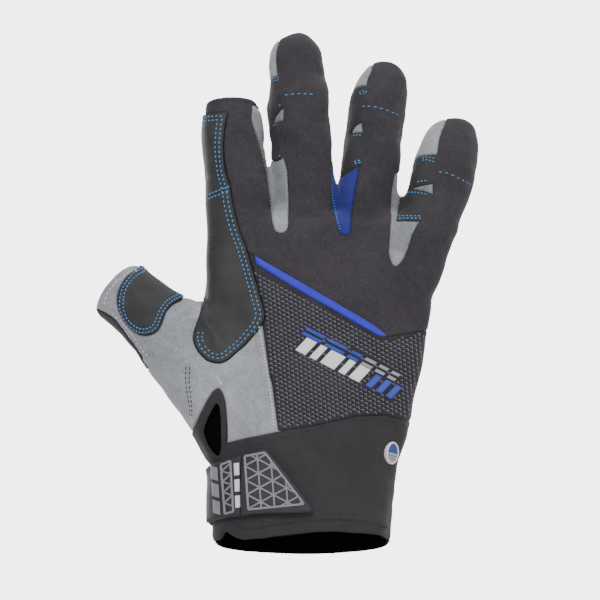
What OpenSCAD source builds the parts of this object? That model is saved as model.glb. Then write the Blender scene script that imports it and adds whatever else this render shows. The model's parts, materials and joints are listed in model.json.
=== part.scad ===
// Three-finger sailing glove for a right hand, standing on its cuff with the
// fingers up (+Z), the back of the hand towards -Y and the thumb towards -X.
// Every sewn panel is a thin closed solid: a patch of a lofted tube surface
// between an outer and an inner offset. Dimensions are in millimetres.

/* [Overall] */
// Scale of the widths and depths of the palm and cuff
hand_width_k = 1.0; // [0.95:0.01:1.05]
// Wall thickness of the knitted and neoprene panels
panel_t = 2.0; // [1.4:0.1:2.4]
// Thickness of the stitched-on reinforcements
overlay_t = 0.9; // [0.5:0.1:1.2]
// Gap that stands for a sewn seam between two panels
seam_gap = 0.5; // [0.3:0.1:0.8]

/* [Cuff] */
// Height of the bound hem at the wrist opening
hem_h = 5; // [4:0.5:6]
// How far the hem binding stands out of the cuff
hem_out = 0.7; // [0.3:0.1:1.0]

/* [Strap] */
// Thickness of the hook-and-loop strap
strap_t = 1.6; // [1.0:0.1:2.0]
// Lower edge of the strap above the wrist opening
strap_z0 = 7; // [6.5:0.5:8]
// Height of the strap band
strap_h = 27; // [22:1:29]

/* [Badge] */
// Radius of the round badge on the cuff
badge_r = 4.6; // [3.5:0.1:5.5]

/* [Hidden] */

black = [0.15, 0.14, 0.16];
hide = [0.20, 0.20, 0.20];
suede = [0.52, 0.54, 0.57];
blue = [0.17, 0.20, 0.72];
loop_black = [0.1, 0.1, 0.11];
hook_black = [0.08, 0.08, 0.09];
badge_white = [0.85, 0.87, 0.85];
keeper_grey = [0.45, 0.46, 0.49];
tab_grey = [0.30, 0.31, 0.33];

// ---- stations of the tubes ---------------------------------------------
// Tube numbers, in the order of COLUMNS
INDEX = 0;
MIDDLE = 1;
RING = 2;
LITTLE = 3;
THUMB = 4;
HAND = 5;

// Palm and cuff: [height, centre x, half width, half depth, squareness]
HAND_T = [
    [0,   -0.2, 40.0, 27.0, 2.10],
    [20,  -0.5, 42.3, 26.4, 2.12],
    [38,   0.0, 44.4, 25.2, 2.15],
    [52,   0.2, 47.6, 23.8, 2.20],
    [70,   1.8, 49.6, 22.0, 2.28],
    [90,   4.2, 50.6, 20.4, 2.36],
    [113,  6.9, 52.2, 18.9, 2.44],
    [137, 11.0, 56.0, 17.6, 2.56],
    [151, 13.4, 58.8, 16.8, 2.66]];

// Digits: [t, centre x, y, z, lean, pitch, half width, half depth].
// t is -1 at the knuckle crease, 0 at the web, 1 at the middle joint,
// 2 at the end joint (or the cut end of the index) and 3 at the fingertip.
// Lean tilts towards +X and pitch towards the palm, both in degrees.
INDEX_T = [
    [-1, -30.4, 0.0, 150.6,   0,  0, 14.7, 15.4],
    [ 0, -30.8, 0.2, 174.0,   0,  1, 14.5, 14.6],
    [ 1, -32.6, 0.6, 191.0,  -3,  3, 13.6, 13.4],
    [ 2, -34.2, 1.4, 205.0,  -3,  4, 11.6, 12.0]];
MIDDLE_T = [
    [-1,   0.9, 0.0, 150.6,   0,  0, 14.7, 15.4],
    [ 0,   0.4, 0.3, 174.0,   0,  2, 14.6, 14.6],
    [ 1,  -1.8, 1.6, 200.0,  -2,  5, 13.8, 13.4],
    [ 2,  -3.7, 4.0, 219.0,  -2,  9, 12.2, 11.6],
    [ 3,  -4.4, 7.4, 238.0,  -2, 12, 11.4, 10.6]];
RING_T = [
    [-1,  30.9, 0.0, 150.6,   0,  0, 13.9, 14.8],
    [ 0,  31.0, 0.6, 168.0,   0,  3, 13.5, 14.0],
    [ 1,  34.0, 2.7, 192.5,   4,  8, 12.9, 12.7],
    [ 2,  36.4, 6.0, 208.5,   4, 13, 11.8, 11.2],
    [ 3,  37.7, 10.2, 225.5,  4, 16, 11.0, 10.2]];
LITTLE_T = [
    [-1,  59.6, 0.0, 150.6,   0,  0, 13.6, 13.6],
    [ 0,  61.3, 1.0, 157.5,   3,  3, 13.7, 13.2],
    [ 1,  64.9, 2.8, 168.8,   9,  8, 13.4, 12.2],
    [ 2,  68.2, 5.6, 181.2,  10, 13, 12.6, 11.2],
    [ 3,  70.6, 9.8, 200.0,  10, 17, 11.6, 10.2]];
THUMB_T = [
    [-1, -50.2, 1.5,  86.0, -90,  0, 22.5, 17.0],
    [ 0, -66.0, 2.4, 102.6, -57,  3, 15.6, 14.4],
    [ 1, -88.2, 4.0, 117.1, -57,  5, 13.6, 12.6]];

// Each station table split into lookup tables, one per column
COLUMNS = [for (table = [INDEX_T, MIDDLE_T, RING_T, LITTLE_T, THUMB_T, HAND_T])
    [for (i = [0:len(table[0]) - 1]) [for (row = table) [row[0], row[i]]]]];
function at(tube, column, t) = lookup(t, COLUMNS[tube][column]);

// ---- tube surfaces -----------------------------------------------------
digit_squareness = 2.15;
tip_round_t = 2.35;   // t where a closed fingertip starts to round off
tip_round_power = 2.3;
tip_round_max = 0.992; // keeps the end of the tip from closing to a point

function signed_pow(x, power) = sign(x) * pow(abs(x), power);

// Size factor that rounds off the end of a closed fingertip
function tip_scale(t) = t <= tip_round_t ? 1
    : let (u = min(tip_round_max, (t - tip_round_t) / (3 - tip_round_t)))
        pow(1 - pow(u, tip_round_power), 1 / tip_round_power);

function hand_point(z, angle) =
    let (power = 2 / at(HAND, 4, z),
         half_w = hand_width_k * at(HAND, 2, z),
         half_d = hand_width_k * at(HAND, 3, z))
    [at(HAND, 1, z) + half_w * signed_pow(cos(angle), power),
     -half_d * signed_pow(sin(angle), power), z];

function digit_centre(digit, t) = [for (i = [1:3]) at(digit, i, t)];
function digit_point(digit, t, angle) =
    let (lean = at(digit, 4, t),
         pitch = at(digit, 5, t),
         across = [cos(lean), 0, -sin(lean)],
         axis = [sin(lean) * cos(pitch), sin(pitch), cos(lean) * cos(pitch)],
         palmward = cross(axis, across),
         size = tip_scale(t),
         power = 2 / digit_squareness)
    digit_centre(digit, t)
        + at(digit, 6, t) * size * signed_pow(cos(angle), power) * across
        - at(digit, 7, t) * size * signed_pow(sin(angle), power) * palmward;

function surface_point(tube, t, angle) =
    tube == HAND ? hand_point(t, angle) : digit_point(tube, t, angle);

// A point of a tube at t (height on the hand) and angle, offset outwards by lift.
// Angle 90 is the back; 0 is the little-finger side and 180 the thumb side. On
// the thumb 0 is the side near the fingers and 180 the side away from them.
// The normal comes from differences over angle_step and t_step either way.
angle_step = 2;
function t_step(tube) = tube == HAND ? 0.8 : 0.03;
function point(tube, t, angle, lift) =
    let (step = t_step(tube),
         around = surface_point(tube, t, angle + angle_step)
            - surface_point(tube, t, angle - angle_step),
         along = surface_point(tube, t + step, angle) - surface_point(tube, t - step, angle),
         normal = cross(along, around))
    surface_point(tube, t, angle) + lift * normal / max(norm(normal), 1e-9);

// ---- closed solids from grids ------------------------------------------
function quad(a, b, c, d) = [[a, b, c], [a, c, d]];

// A slab as [points, faces]: outer rows, then inner rows, then the four edges
function slab(outer, inner) =
    let (rows = len(outer), cols = len(outer[0]), half = rows * cols)
    [concat([for (row = outer) each row], [for (row = inner) each row]),
     concat(
        [for (i = [0:rows - 2]) for (j = [0:cols - 2]) let (v = i * cols + j)
            each quad(v, v + cols, v + cols + 1, v + 1)],
        [for (i = [0:rows - 2]) for (j = [0:cols - 2]) let (v = half + i * cols + j)
            each quad(v, v + 1, v + cols + 1, v + cols)],
        [for (i = [0:rows - 2]) let (v = i * cols)
            each quad(v, half + v, half + v + cols, v + cols)],
        [for (i = [0:rows - 2]) let (v = i * cols + cols - 1)
            each quad(v, v + cols, half + v + cols, half + v)],
        [for (j = [0:cols - 2]) each quad(j, j + 1, half + j + 1, half + j)],
        [for (j = [0:cols - 2]) let (v = (rows - 1) * cols + j)
            each quad(v, half + v, half + v + 1, v + 1)])];

// Slab over a grid of [t, angle]; layer is [outer offset, inner offset]
function skin(tube, grid, layer) =
    slab([for (row = grid) [for (s = row) point(tube, s[0], s[1], layer[0])]],
         [for (row = grid) [for (s = row) point(tube, s[0], s[1], layer[1])]]);

function value_at(x, edge) = is_list(edge) ? lookup(x, edge) : edge;

// Patch between two t and two angles; the angles may be tables on t.
// cells is [count along t, count around].
function patch(tube, along, around, layer, cells) =
    skin(tube,
        [for (i = [0:cells[0]])
            let (t = along[0] + (along[1] - along[0]) * i / cells[0],
                 a = value_at(t, around[0]),
                 b = value_at(t, around[1]))
            [for (j = [0:cells[1]]) [t, a + (b - a) * j / cells[1]]]],
        layer);
// The same, but the two t may be tables on the angle
function patch_by_angle(tube, around, along, layer, cells) =
    skin(tube,
        [for (i = [0:cells[0]])
            [for (j = [0:cells[1]])
                let (angle = around[0] + (around[1] - around[0]) * j / cells[1],
                     a = value_at(angle, along[0]),
                     b = value_at(angle, along[1]))
                [a + (b - a) * i / cells[0], angle]]],
        layer);

// Several slabs as one polyhedron
module solids(slabs) {
    counts = [for (s = slabs) len(s[0])];
    starts = [for (i = 0, start = 0; i < len(slabs); start = start + counts[i], i = i + 1) start];
    polyhedron(
        points = [for (s = slabs) each s[0]],
        faces = [for (i = [0:len(slabs) - 1])
            each [for (face = slabs[i][1]) [for (v = face) v + starts[i]]]],
        convexity = 8);
}

// ---- layers: [outer offset, inner offset] ------------------------------
full_wall = [0, -panel_t];
thin_wall = [0, -panel_t * 0.8];
tip_wall = [0, -panel_t * 0.85];
grip_wall = [0.1, -panel_t];
piping_wall = [0.6, -panel_t * 0.8];
function overlay(lift) = [lift + overlay_t, lift];

// ---- seam lines of the hand --------------------------------------------
seam_half = seam_gap / 2;
cross_gap = 0.6;      // gap at the level seams of the palm, side and cuff
cuff_z0 = hem_h + 0.3;
cuff_split_z = 31;    // level seam across the palm side of the cuff
cuff_palm_z1 = 44;
thumb_z0 = 64;        // level seams below and above the thumb opening
thumb_z1 = 112;
side_split_z = 126;
knuckle_z = 150;
piping_h = 4.6;
grip_drop = 4.8;      // from the piping's seam line to the grip, less its seams
back_edge = -7;       // little-finger side edge of the back, on hand and fingers
palm_edge = 352;      // and of the palm

// Lower edge of the back panel along the diagonal piping: [angle, z]
PIPING_Z = [[-10, 95], [50, 95], [60, 98.5], [126, 131], [140, 136]];
// Top edge of the cuff: [angle, z]
CUFF_Z = [[-10, 43], [30, 46], [60, 47.5], [90, 42.5], [120, 39], [149, 37]];
// Edges that run up the hand: [z, angle]
GRIP_EDGE = [[47, 99.4], [90, 115.4], [111, 119.6]];
SIDE_EDGE = [[40, 97.4], [47, 100.6], [90, 116.6], [111, 121], [124, 126]];
SIDE_UPPER_EDGE = [[111, 122], [128, 126.5]];
PALM_OVERLAY_FROM = [[66, 236], [84, 212], [144, 204]];
PALM_OVERLAY_TO = [[66, 300], [90, 322], [144, 330]];
INDEX_BASE_FROM = [[67, 140], [78, 124], [88, 119], [100, 120], [124, 126], [150, 128]];
INDEX_BASE_TO = [[67, 147], [78, 156], [95, 159], [150, 176]];

function raised(table, dz) = [for (row = table) [row[0], row[1] + dz]];

// ---- seam lines of the digits: [from angle, to angle] ------------------
// Radial is the thumb side of a finger, ulnar the little-finger side.
seam_angle = 2;
finger_back = [11, 127];
radial_gusset = [finger_back[1] + seam_angle, 169];
finger_palm = [radial_gusset[1] + seam_angle, 328];
ulnar_gusset = [finger_palm[1] + seam_angle, finger_back[0] + 360 - seam_angle];
index_back_arc = [finger_back[0], 124];
index_palm_arc = [127, finger_palm[1]];
index_overlay_arc = [129, 222];
// Beyond the gussets the back and palm meet directly
outer_back = [back_edge, finger_back[1]];
outer_palm = [finger_back[1] + seam_angle, back_edge + 360 - seam_angle];
tip_palm_arc = [130, 350];
overlay_margin = 5;
finger_overlay = [finger_palm[0] + overlay_margin, finger_palm[1] - overlay_margin];

lower_span = [0, 1];  // web to middle joint
mid_span = [1, 2];    // middle joint to end joint
overlay_inset = 7;    // end inset of the digit overlays, in half seams

// Half a seam gap as a step of t
function seam_step(digit, span) =
    seam_half / norm(digit_centre(digit, span[1]) - digit_centre(digit, span[0]))
        * (span[1] - span[0]);

// Patch from the crease (t = -1) to just short of the web, inset in half seams
function base_patch(digit, arc, layer, cells, inset = 1) =
    patch(digit, [-1, -inset * seam_step(digit, [-1, 0])], arc, layer, cells);

// ---- palm and back of the hand -----------------------------------------
module back_panel() color(black)
    solids([patch_by_angle(HAND, [back_edge, 138], [raised(PIPING_Z, seam_half), knuckle_z],
        full_wall, [5, 22])]);
module knuckle_piping() color(blue)
    solids([patch_by_angle(HAND, [52, 125],
        [raised(PIPING_Z, -seam_half - piping_h), raised(PIPING_Z, -seam_half)],
        piping_wall, [1, 14])]);
module grip_panel() color(black) {
    cuff_seam = raised(CUFF_Z, seam_half);
    solids([
        patch_by_angle(HAND, [back_edge, 50], [cuff_seam, raised(PIPING_Z, -seam_half)],
            grip_wall, [5, 9]),
        patch_by_angle(HAND, [51, 98], [cuff_seam, raised(PIPING_Z, -3 * seam_half - grip_drop)],
            grip_wall, [5, 8]),
        patch(HAND, [47, 111], [98.6, GRIP_EDGE], grip_wall, [6, 3])]);
}
module side_panel() color(suede)
    solids([
        patch(HAND, [42.4, thumb_z0], [SIDE_EDGE, 148], thin_wall, [3, 6]),
        patch(HAND, [thumb_z0 + cross_gap, thumb_z1], [SIDE_EDGE, 161], thin_wall, [5, 5]),
        patch(HAND, [thumb_z1 + cross_gap, side_split_z], [SIDE_UPPER_EDGE, 178],
            thin_wall, [2, 6]),
        patch(HAND, [side_split_z + cross_gap, knuckle_z], [139, 178], thin_wall, [3, 5])]);
module palm_panel() color(suede)
    solids([
        patch(HAND, [cuff_palm_z1 + cross_gap, thumb_z0], [175, palm_edge], thin_wall, [2, 20]),
        patch(HAND, [thumb_z0 + cross_gap, thumb_z1], [197, palm_edge], thin_wall, [5, 18]),
        patch(HAND, [thumb_z1 + cross_gap, knuckle_z], [179, palm_edge], thin_wall, [4, 20])]);
module palm_overlay() color(hide)
    solids([patch(HAND, [66, 144], [PALM_OVERLAY_FROM, PALM_OVERLAY_TO], overlay(0.45), [8, 14])]);
module thumb_gusset() color(suede)
    solids([for (arc = [[2, 178], [182, 358]]) base_patch(THUMB, arc, thin_wall, [3, 12])]);
module index_base_overlay() color(hide)
    solids([patch(HAND, [67, knuckle_z], [INDEX_BASE_FROM, INDEX_BASE_TO], overlay(0.5), [9, 6])]);

// ---- cuff --------------------------------------------------------------
module cuff_back() color(black)
    solids([
        patch_by_angle(HAND, [back_edge, 147.4], [cuff_z0, raised(CUFF_Z, -seam_half)],
            full_wall, [4, 24]),
        patch(HAND, [cuff_z0, cuff_split_z], [148, 186], full_wall, [3, 6])]);
module cuff_palm() color(black)
    solids([
        patch(HAND, [cuff_z0, cuff_split_z], [187, palm_edge], full_wall, [3, 20]),
        patch(HAND, [cuff_split_z + cross_gap, cuff_palm_z1], [175, palm_edge],
            full_wall, [2, 21])]);

// Plan outline of the cuff at mid hem, offset outwards by lift
function hem_outline(lift) =
    [for (angle = [0:5:355]) let (q = point(HAND, hem_h / 2, angle, lift)) [q[0], q[1]]];
module cuff_hem() color(black)
    linear_extrude(height = hem_h) difference() {
        polygon(hem_outline(hem_out));
        polygon(hem_outline(-panel_t - 0.5));
    }

// Teardrop vent below the thumb
vent_angle = 161;
vent_z = 47.2;
vent_half_angle = 9.6;
vent_half_h = 12.4;
vent_taper = 0.35;
vent_hole_scale = 0.62;
vent_layer = [0.7, -2.4];
vent_steps = 28;

function vent_loop(scale, lift) =
    [for (i = [0:vent_steps - 1])
        let (turn = 360 * i / vent_steps,
             angle = vent_angle
                + scale * vent_half_angle * sin(turn) * (1 - vent_taper * cos(turn)))
        point(HAND, vent_z + scale * vent_half_h * cos(turn), angle, lift)];
module vent_binding() color(black)
    polyhedron(
        points = concat(
            vent_loop(1, vent_layer[0]), vent_loop(vent_hole_scale, vent_layer[0]),
            vent_loop(vent_hole_scale, vent_layer[1]), vent_loop(1, vent_layer[1])),
        faces = [for (i = [0:vent_steps - 1]) for (ring = [0:3])
            let (j = (i + 1) % vent_steps,
                 a = ring * vent_steps,
                 b = (ring + 1) % 4 * vent_steps)
            each quad(a + i, b + i, b + j, a + j)],
        convexity = 4);

// Round badge with a raised rim, square to the cuff surface
badge_z = 33;
badge_angle = 38;
badge_lift = 0.9;
badge_t = 0.9;
badge_rim = [0.9, 0.35]; // width, height

module badge() color(badge_white) {
    centre = point(HAND, badge_z, badge_angle, badge_lift);
    normal = point(HAND, badge_z, badge_angle, badge_lift + 1) - centre;
    translate(centre) rotate([0, acos(normal[2]), atan2(normal[1], normal[0])]) {
        cylinder(r = badge_r, h = badge_t, $fn = 64);
        translate([0, 0, badge_t])
            rotate_extrude($fn = 64) translate([badge_r - badge_rim[0], 0]) square(badge_rim);
    }
}

// ---- strap -------------------------------------------------------------
strap_lo = 1.5;
strap_hi = strap_lo + strap_t;
strap_z1 = strap_z0 + strap_h;
cuff_clear = 0.35;    // clearance of the anchor and loop patch over the cuff
loop_hi = 1.1;
keeper_lo = strap_hi + 0.35;
keeper_t = 0.7;
keeper_margin = 1.5;
// Top edge of the pull tab: [angle, z]
TAB_TOP = [[80, strap_z0 + 3.5], [84, strap_z0 + 5.5], [114, strap_z1 + 5], [121, strap_z1 + 3]];

module loop_patch() color(loop_black)
    solids([patch(HAND, [strap_z0 + 2, strap_z0 + 24], [82, 146], [loop_hi, cuff_clear], [4, 9])]);
module strap_anchor() color(black)
    solids([patch(HAND, [strap_z0, strap_z1 - 2], [187, 236], [strap_hi, cuff_clear], [3, 8])]);
module strap_band() color(black)
    solids([patch(HAND, [strap_z0, strap_z1], [122, 184], [strap_hi, strap_lo], [3, 9])]);
module strap_keeper() color(keeper_grey)
    solids([patch(HAND, [strap_z0 + keeper_margin, strap_z1 - keeper_margin], [150, 180],
        [keeper_lo + keeper_t, keeper_lo], [3, 5])]);
module pull_tab() color(tab_grey)
    solids([patch_by_angle(HAND, [80, 120.6], [strap_z0, TAB_TOP],
        [strap_hi + 0.5, strap_lo + 0.2], [4, 8])]);
module hook_patch() color(hook_black)
    solids([patch_by_angle(HAND, [88, 118], [strap_z0 + 2.5, raised(TAB_TOP, -4)],
        [strap_lo + 0.05, strap_lo - 0.25], [3, 6])]);

// ---- knuckle row -------------------------------------------------------
module knuckle_back() color(black)
    solids([
        base_patch(INDEX, index_back_arc, full_wall, [3, 9]),
        base_patch(MIDDLE, finger_back, full_wall, [3, 9]),
        base_patch(RING, finger_back, full_wall, [3, 9]),
        base_patch(LITTLE, [-8, finger_back[1]], full_wall, [2, 10])]);
module knuckle_palm() color(suede)
    solids([
        base_patch(INDEX, index_palm_arc, thin_wall, [3, 15]),
        base_patch(MIDDLE, finger_palm, thin_wall, [3, 12]),
        base_patch(RING, finger_palm, thin_wall, [3, 12]),
        base_patch(LITTLE, [finger_palm[0], 350], thin_wall, [2, 13])]);
module knuckle_overlay() color(hide)
    solids([base_patch(INDEX, index_overlay_arc, overlay(0.45), [3, 7], overlay_inset)]);

// Facing walls of two neighbours, the one nearer the thumb first
module web(radial_digit, ulnar_digit)
    solids([
        base_patch(radial_digit, ulnar_gusset, thin_wall, [3, 3]),
        base_patch(ulnar_digit, radial_gusset, thin_wall, [3, 3])]);
module web_index_middle() color(suede) web(INDEX, MIDDLE);
module web_middle_ring() color(blue) web(MIDDLE, RING);
module web_ring_little() color(suede) web(RING, LITTLE);

// ---- digits ------------------------------------------------------------
// One panel of a digit segment, inset at both ends by a number of half seams
module segment(digit, span, arc, layer, cols, inset = 1) {
    cut = inset * seam_step(digit, span);
    solids([patch(digit, [span[0] + cut, span[1] - cut], arc, layer, [3, cols])]);
}
module segment_overlay(digit, arc) color(hide)
    segment(digit, lower_span, arc, overlay(0.4), 10, overlay_inset);
module gusset(digit, arc) segment(digit, lower_span, arc, thin_wall, 3);
module mid_back(digit) color(black) segment(digit, mid_span, outer_back, full_wall, 10);
module mid_palm(digit) color(hide) segment(digit, mid_span, outer_palm, full_wall, 15);
module tip(digit, arc)
    solids([patch(digit, [2 + seam_step(digit, [2, 3]), 3], arc, tip_wall, [9, 9])]);

module index_back() color(black) segment(INDEX, lower_span, index_back_arc, full_wall, 9);
module index_palm() color(suede) segment(INDEX, lower_span, index_palm_arc, thin_wall, 14);
module index_overlay() segment_overlay(INDEX, index_overlay_arc);
module index_gusset() color(suede) gusset(INDEX, ulnar_gusset);
module index_end_back() color(black) segment(INDEX, mid_span, [-20, 124], full_wall, 11);
module index_end_palm() color(hide) segment(INDEX, mid_span, [127, 338], full_wall, 14);

module middle_back() color(black) segment(MIDDLE, lower_span, finger_back, full_wall, 9);
module middle_palm() color(suede) segment(MIDDLE, lower_span, finger_palm, thin_wall, 11);
module middle_overlay() segment_overlay(MIDDLE, finger_overlay);
module middle_gusset_radial() color(suede) gusset(MIDDLE, radial_gusset);
module middle_gusset_ulnar() color(blue) gusset(MIDDLE, ulnar_gusset);
module middle_mid_back() mid_back(MIDDLE);
module middle_mid_palm() mid_palm(MIDDLE);
module middle_tip_back() color(black) tip(MIDDLE, outer_back);
module middle_tip_palm() color(suede) tip(MIDDLE, tip_palm_arc);

module ring_back() color(black) segment(RING, lower_span, finger_back, full_wall, 9);
module ring_palm() color(suede) segment(RING, lower_span, finger_palm, thin_wall, 11);
module ring_overlay() segment_overlay(RING, finger_overlay);
module ring_gusset_radial() color(blue) gusset(RING, radial_gusset);
module ring_gusset_ulnar() color(suede) gusset(RING, ulnar_gusset);
module ring_mid_back() mid_back(RING);
module ring_mid_palm() mid_palm(RING);
module ring_tip_back() color(black) tip(RING, outer_back);
module ring_tip_palm() color(suede) tip(RING, tip_palm_arc);

module little_back() color(black) segment(LITTLE, lower_span, outer_back, full_wall, 10);
module little_palm() color(suede)
    segment(LITTLE, lower_span, [finger_palm[0], outer_palm[1]], thin_wall, 12);
module little_overlay() segment_overlay(LITTLE, [finger_overlay[0], 340]);
module little_gusset() color(suede) gusset(LITTLE, radial_gusset);
module little_mid_back() mid_back(LITTLE);
module little_mid_palm() mid_palm(LITTLE);
module little_tip_back() color(black) tip(LITTLE, outer_back);
module little_tip_palm() color(suede) tip(LITTLE, tip_palm_arc);

module thumb_back() color(black) segment(THUMB, lower_span, [152, 246], full_wall, 8);
module thumb_palm() color(suede) segment(THUMB, lower_span, [-112, 150], thin_wall, 18);
module thumb_overlay() segment_overlay(THUMB, [-40, 118]);

back_panel();
knuckle_piping();
grip_panel();
side_panel();
palm_panel();
palm_overlay();
thumb_gusset();
index_base_overlay();
cuff_back();
cuff_palm();
cuff_hem();
vent_binding();
loop_patch();
badge();
strap_anchor();
knuckle_back();
knuckle_palm();
knuckle_overlay();
web_index_middle();
web_middle_ring();
web_ring_little();
index_back();
index_palm();
index_overlay();
index_gusset();
index_end_back();
index_end_palm();
middle_back();
middle_palm();
middle_overlay();
middle_gusset_radial();
middle_gusset_ulnar();
middle_mid_back();
middle_mid_palm();
middle_tip_back();
middle_tip_palm();
ring_back();
ring_palm();
ring_overlay();
ring_gusset_radial();
ring_gusset_ulnar();
ring_mid_back();
ring_mid_palm();
ring_tip_back();
ring_tip_palm();
little_back();
little_palm();
little_overlay();
little_gusset();
little_mid_back();
little_mid_palm();
little_tip_back();
little_tip_palm();
thumb_back();
thumb_palm();
thumb_overlay();
strap_band();
strap_keeper();
pull_tab();
hook_patch();
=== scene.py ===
# A right-hand sports glove with a wrist strap. The fingers point up +Z, the back of the hand
# faces -Y and the thumb is on the -X side. The index finger and the thumb are open at the end.
# Shapes are worked out in millimetres and become metres when a mesh is made.
import json
import math
from collections import namedtuple

import bpy
import numpy as np
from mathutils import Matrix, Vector
from mathutils.bvhtree import BVHTree
from mathutils.kdtree import KDTree

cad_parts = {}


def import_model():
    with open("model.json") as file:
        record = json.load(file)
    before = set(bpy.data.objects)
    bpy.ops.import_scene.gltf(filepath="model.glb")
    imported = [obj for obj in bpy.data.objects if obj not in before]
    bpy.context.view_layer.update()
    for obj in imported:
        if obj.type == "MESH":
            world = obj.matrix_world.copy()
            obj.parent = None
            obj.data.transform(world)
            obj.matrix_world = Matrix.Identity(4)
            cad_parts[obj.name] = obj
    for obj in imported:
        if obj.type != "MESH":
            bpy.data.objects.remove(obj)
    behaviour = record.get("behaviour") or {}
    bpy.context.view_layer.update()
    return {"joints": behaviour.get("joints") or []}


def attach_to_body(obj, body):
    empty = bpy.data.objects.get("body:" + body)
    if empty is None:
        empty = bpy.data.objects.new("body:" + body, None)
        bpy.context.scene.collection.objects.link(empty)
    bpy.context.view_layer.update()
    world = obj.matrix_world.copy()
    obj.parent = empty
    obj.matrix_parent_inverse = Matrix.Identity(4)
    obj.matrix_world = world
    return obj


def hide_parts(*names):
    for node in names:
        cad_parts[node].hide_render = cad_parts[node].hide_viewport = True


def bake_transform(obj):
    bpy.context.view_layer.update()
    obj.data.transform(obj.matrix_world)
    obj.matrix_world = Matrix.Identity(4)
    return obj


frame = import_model()
JOINTS = {joint["name"]: joint for joint in frame["joints"]}
MM = 0.001  # metres in a millimetre

# ---------------------------------------------------------------- drawing plane
# Outlines are drawn as points u (right), v (up) on a tilted elevation of the glove, and are
# carried onto the model along the rays from the camera's eye.
TILT = math.radians(-14.5)
EYE_DIST = 3000.0
FRAME_WIDTH = 276.0  # width of the camera's view on the drawing plane
CENTRE_U, CENTRE_V = -0.92, 110.86
LOOK = np.array([0.0, math.cos(TILT), -math.sin(TILT)])
DRAW_UP = np.array([0.0, math.sin(TILT), math.cos(TILT)])
RIGHT = np.array([1.0, 0.0, 0.0])
PLANE_DEPTH = -15.0 * LOOK[1]
EYE = CENTRE_U * RIGHT + CENTRE_V * DRAW_UP + PLANE_DEPTH * LOOK - EYE_DIST * LOOK


def on_plane(uv):
    uv = np.atleast_2d(np.asarray(uv, float))
    return uv[:, :1] * RIGHT + uv[:, 1:2] * DRAW_UP + PLANE_DEPTH * LOOK


def to_drawing(pts):
    rays = np.atleast_2d(pts) - EYE
    scale = EYE_DIST / (rays @ LOOK)
    return np.stack([CENTRE_U + (rays @ RIGHT) * scale, CENTRE_V + (rays @ DRAW_UP) * scale], 1)


def at_depth(u, v, y):
    """The point behind a drawn point at depth y, and the drawing's scale there."""
    ray = on_plane([(u, v)])[0] - EYE
    scale = (y - EYE[1]) / ray[1]
    return EYE + ray * scale, scale


def table(text):
    """Drawn points from text: "u,v u,v ..."."""
    return np.array([[float(x) for x in row.split(",")] for row in text.split()])


# ---------------------------------------------------------------- mesh helpers
def smoothstep(low, high, x):
    t = np.clip((x - low) / (high - low), 0, 1)
    return t * t * (3 - 2 * t)


def unit(vectors):
    return vectors / np.linalg.norm(vectors, axis=-1, keepdims=True)


def mesh_object(name, pts, faces):
    mesh = bpy.data.meshes.new(name)
    mesh.from_pydata((np.asarray(pts) * MM).tolist(), [],
                     [tuple(int(i) for i in face) for face in faces])
    mesh.validate()
    mesh.polygons.foreach_set("use_smooth", [True] * len(mesh.polygons))
    mesh.update()
    ob = bpy.data.objects.new(name, mesh)
    bpy.context.scene.collection.objects.link(ob)
    return ob


def join(parts):
    """Points and faces of several (points, faces) parts together."""
    all_pts, all_faces, start = [], [], 0
    for pts, faces in parts:
        all_pts.append(np.asarray(pts))
        all_faces += [tuple(int(i) + start for i in face) for face in faces]
        start += len(pts)
    return np.concatenate(all_pts), all_faces


def get_mesh(ob):
    """Points in millimetres and triangles of an object."""
    mesh = ob.data
    pts = np.zeros(len(mesh.vertices) * 3)
    mesh.vertices.foreach_get("co", pts)
    mesh.calc_loop_triangles()
    faces = np.zeros(len(mesh.loop_triangles) * 3, np.int32)
    mesh.loop_triangles.foreach_get("vertices", faces)
    return pts.reshape(-1, 3) * 1000, faces.reshape(-1, 3)


def apply_modifiers(ob):
    graph = bpy.context.evaluated_depsgraph_get()
    mesh = bpy.data.meshes.new_from_object(ob.evaluated_get(graph))
    ob.modifiers.clear()
    old = ob.data
    ob.data = mesh
    bpy.data.meshes.remove(old)


def remesh(ob, voxel):
    modifier = ob.modifiers.new("remesh", "REMESH")
    modifier.mode = "VOXEL"
    modifier.voxel_size = voxel * MM
    apply_modifiers(ob)


def thicken(ob, thickness, offset):
    modifier = ob.modifiers.new("thicken", "SOLIDIFY")
    modifier.thickness = thickness * MM
    modifier.offset = offset
    apply_modifiers(ob)
    ob.data.polygons.foreach_set("use_smooth", [True] * len(ob.data.polygons))


def normals(pts, faces):
    face_norms = np.cross(pts[faces[:, 1]] - pts[faces[:, 0]], pts[faces[:, 2]] - pts[faces[:, 0]])
    norms = np.zeros_like(pts)
    for k in range(3):
        np.add.at(norms, faces[:, k], face_norms)
    return norms / np.maximum(np.linalg.norm(norms, axis=1, keepdims=True), 1e-12)


def face_sides(faces):
    return np.sort(np.concatenate([faces[:, [0, 1]], faces[:, [1, 2]], faces[:, [2, 0]]]), axis=1)


def unique_edges(faces):
    """Each edge once, and the edge that each face side is."""
    edges, side_edge = np.unique(face_sides(faces), axis=0, return_inverse=True)
    return edges, side_edge.ravel()


def compact(faces):
    """The point numbers that faces use, and the faces renumbered to them."""
    used, renumbered = np.unique(faces, return_inverse=True)
    return used, renumbered.reshape(faces.shape)


def neighbour_sum(values, edges):
    total = np.zeros_like(values)
    np.add.at(total, edges[:, 0], values[edges[:, 1]])
    np.add.at(total, edges[:, 1], values[edges[:, 0]])
    return total


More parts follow.
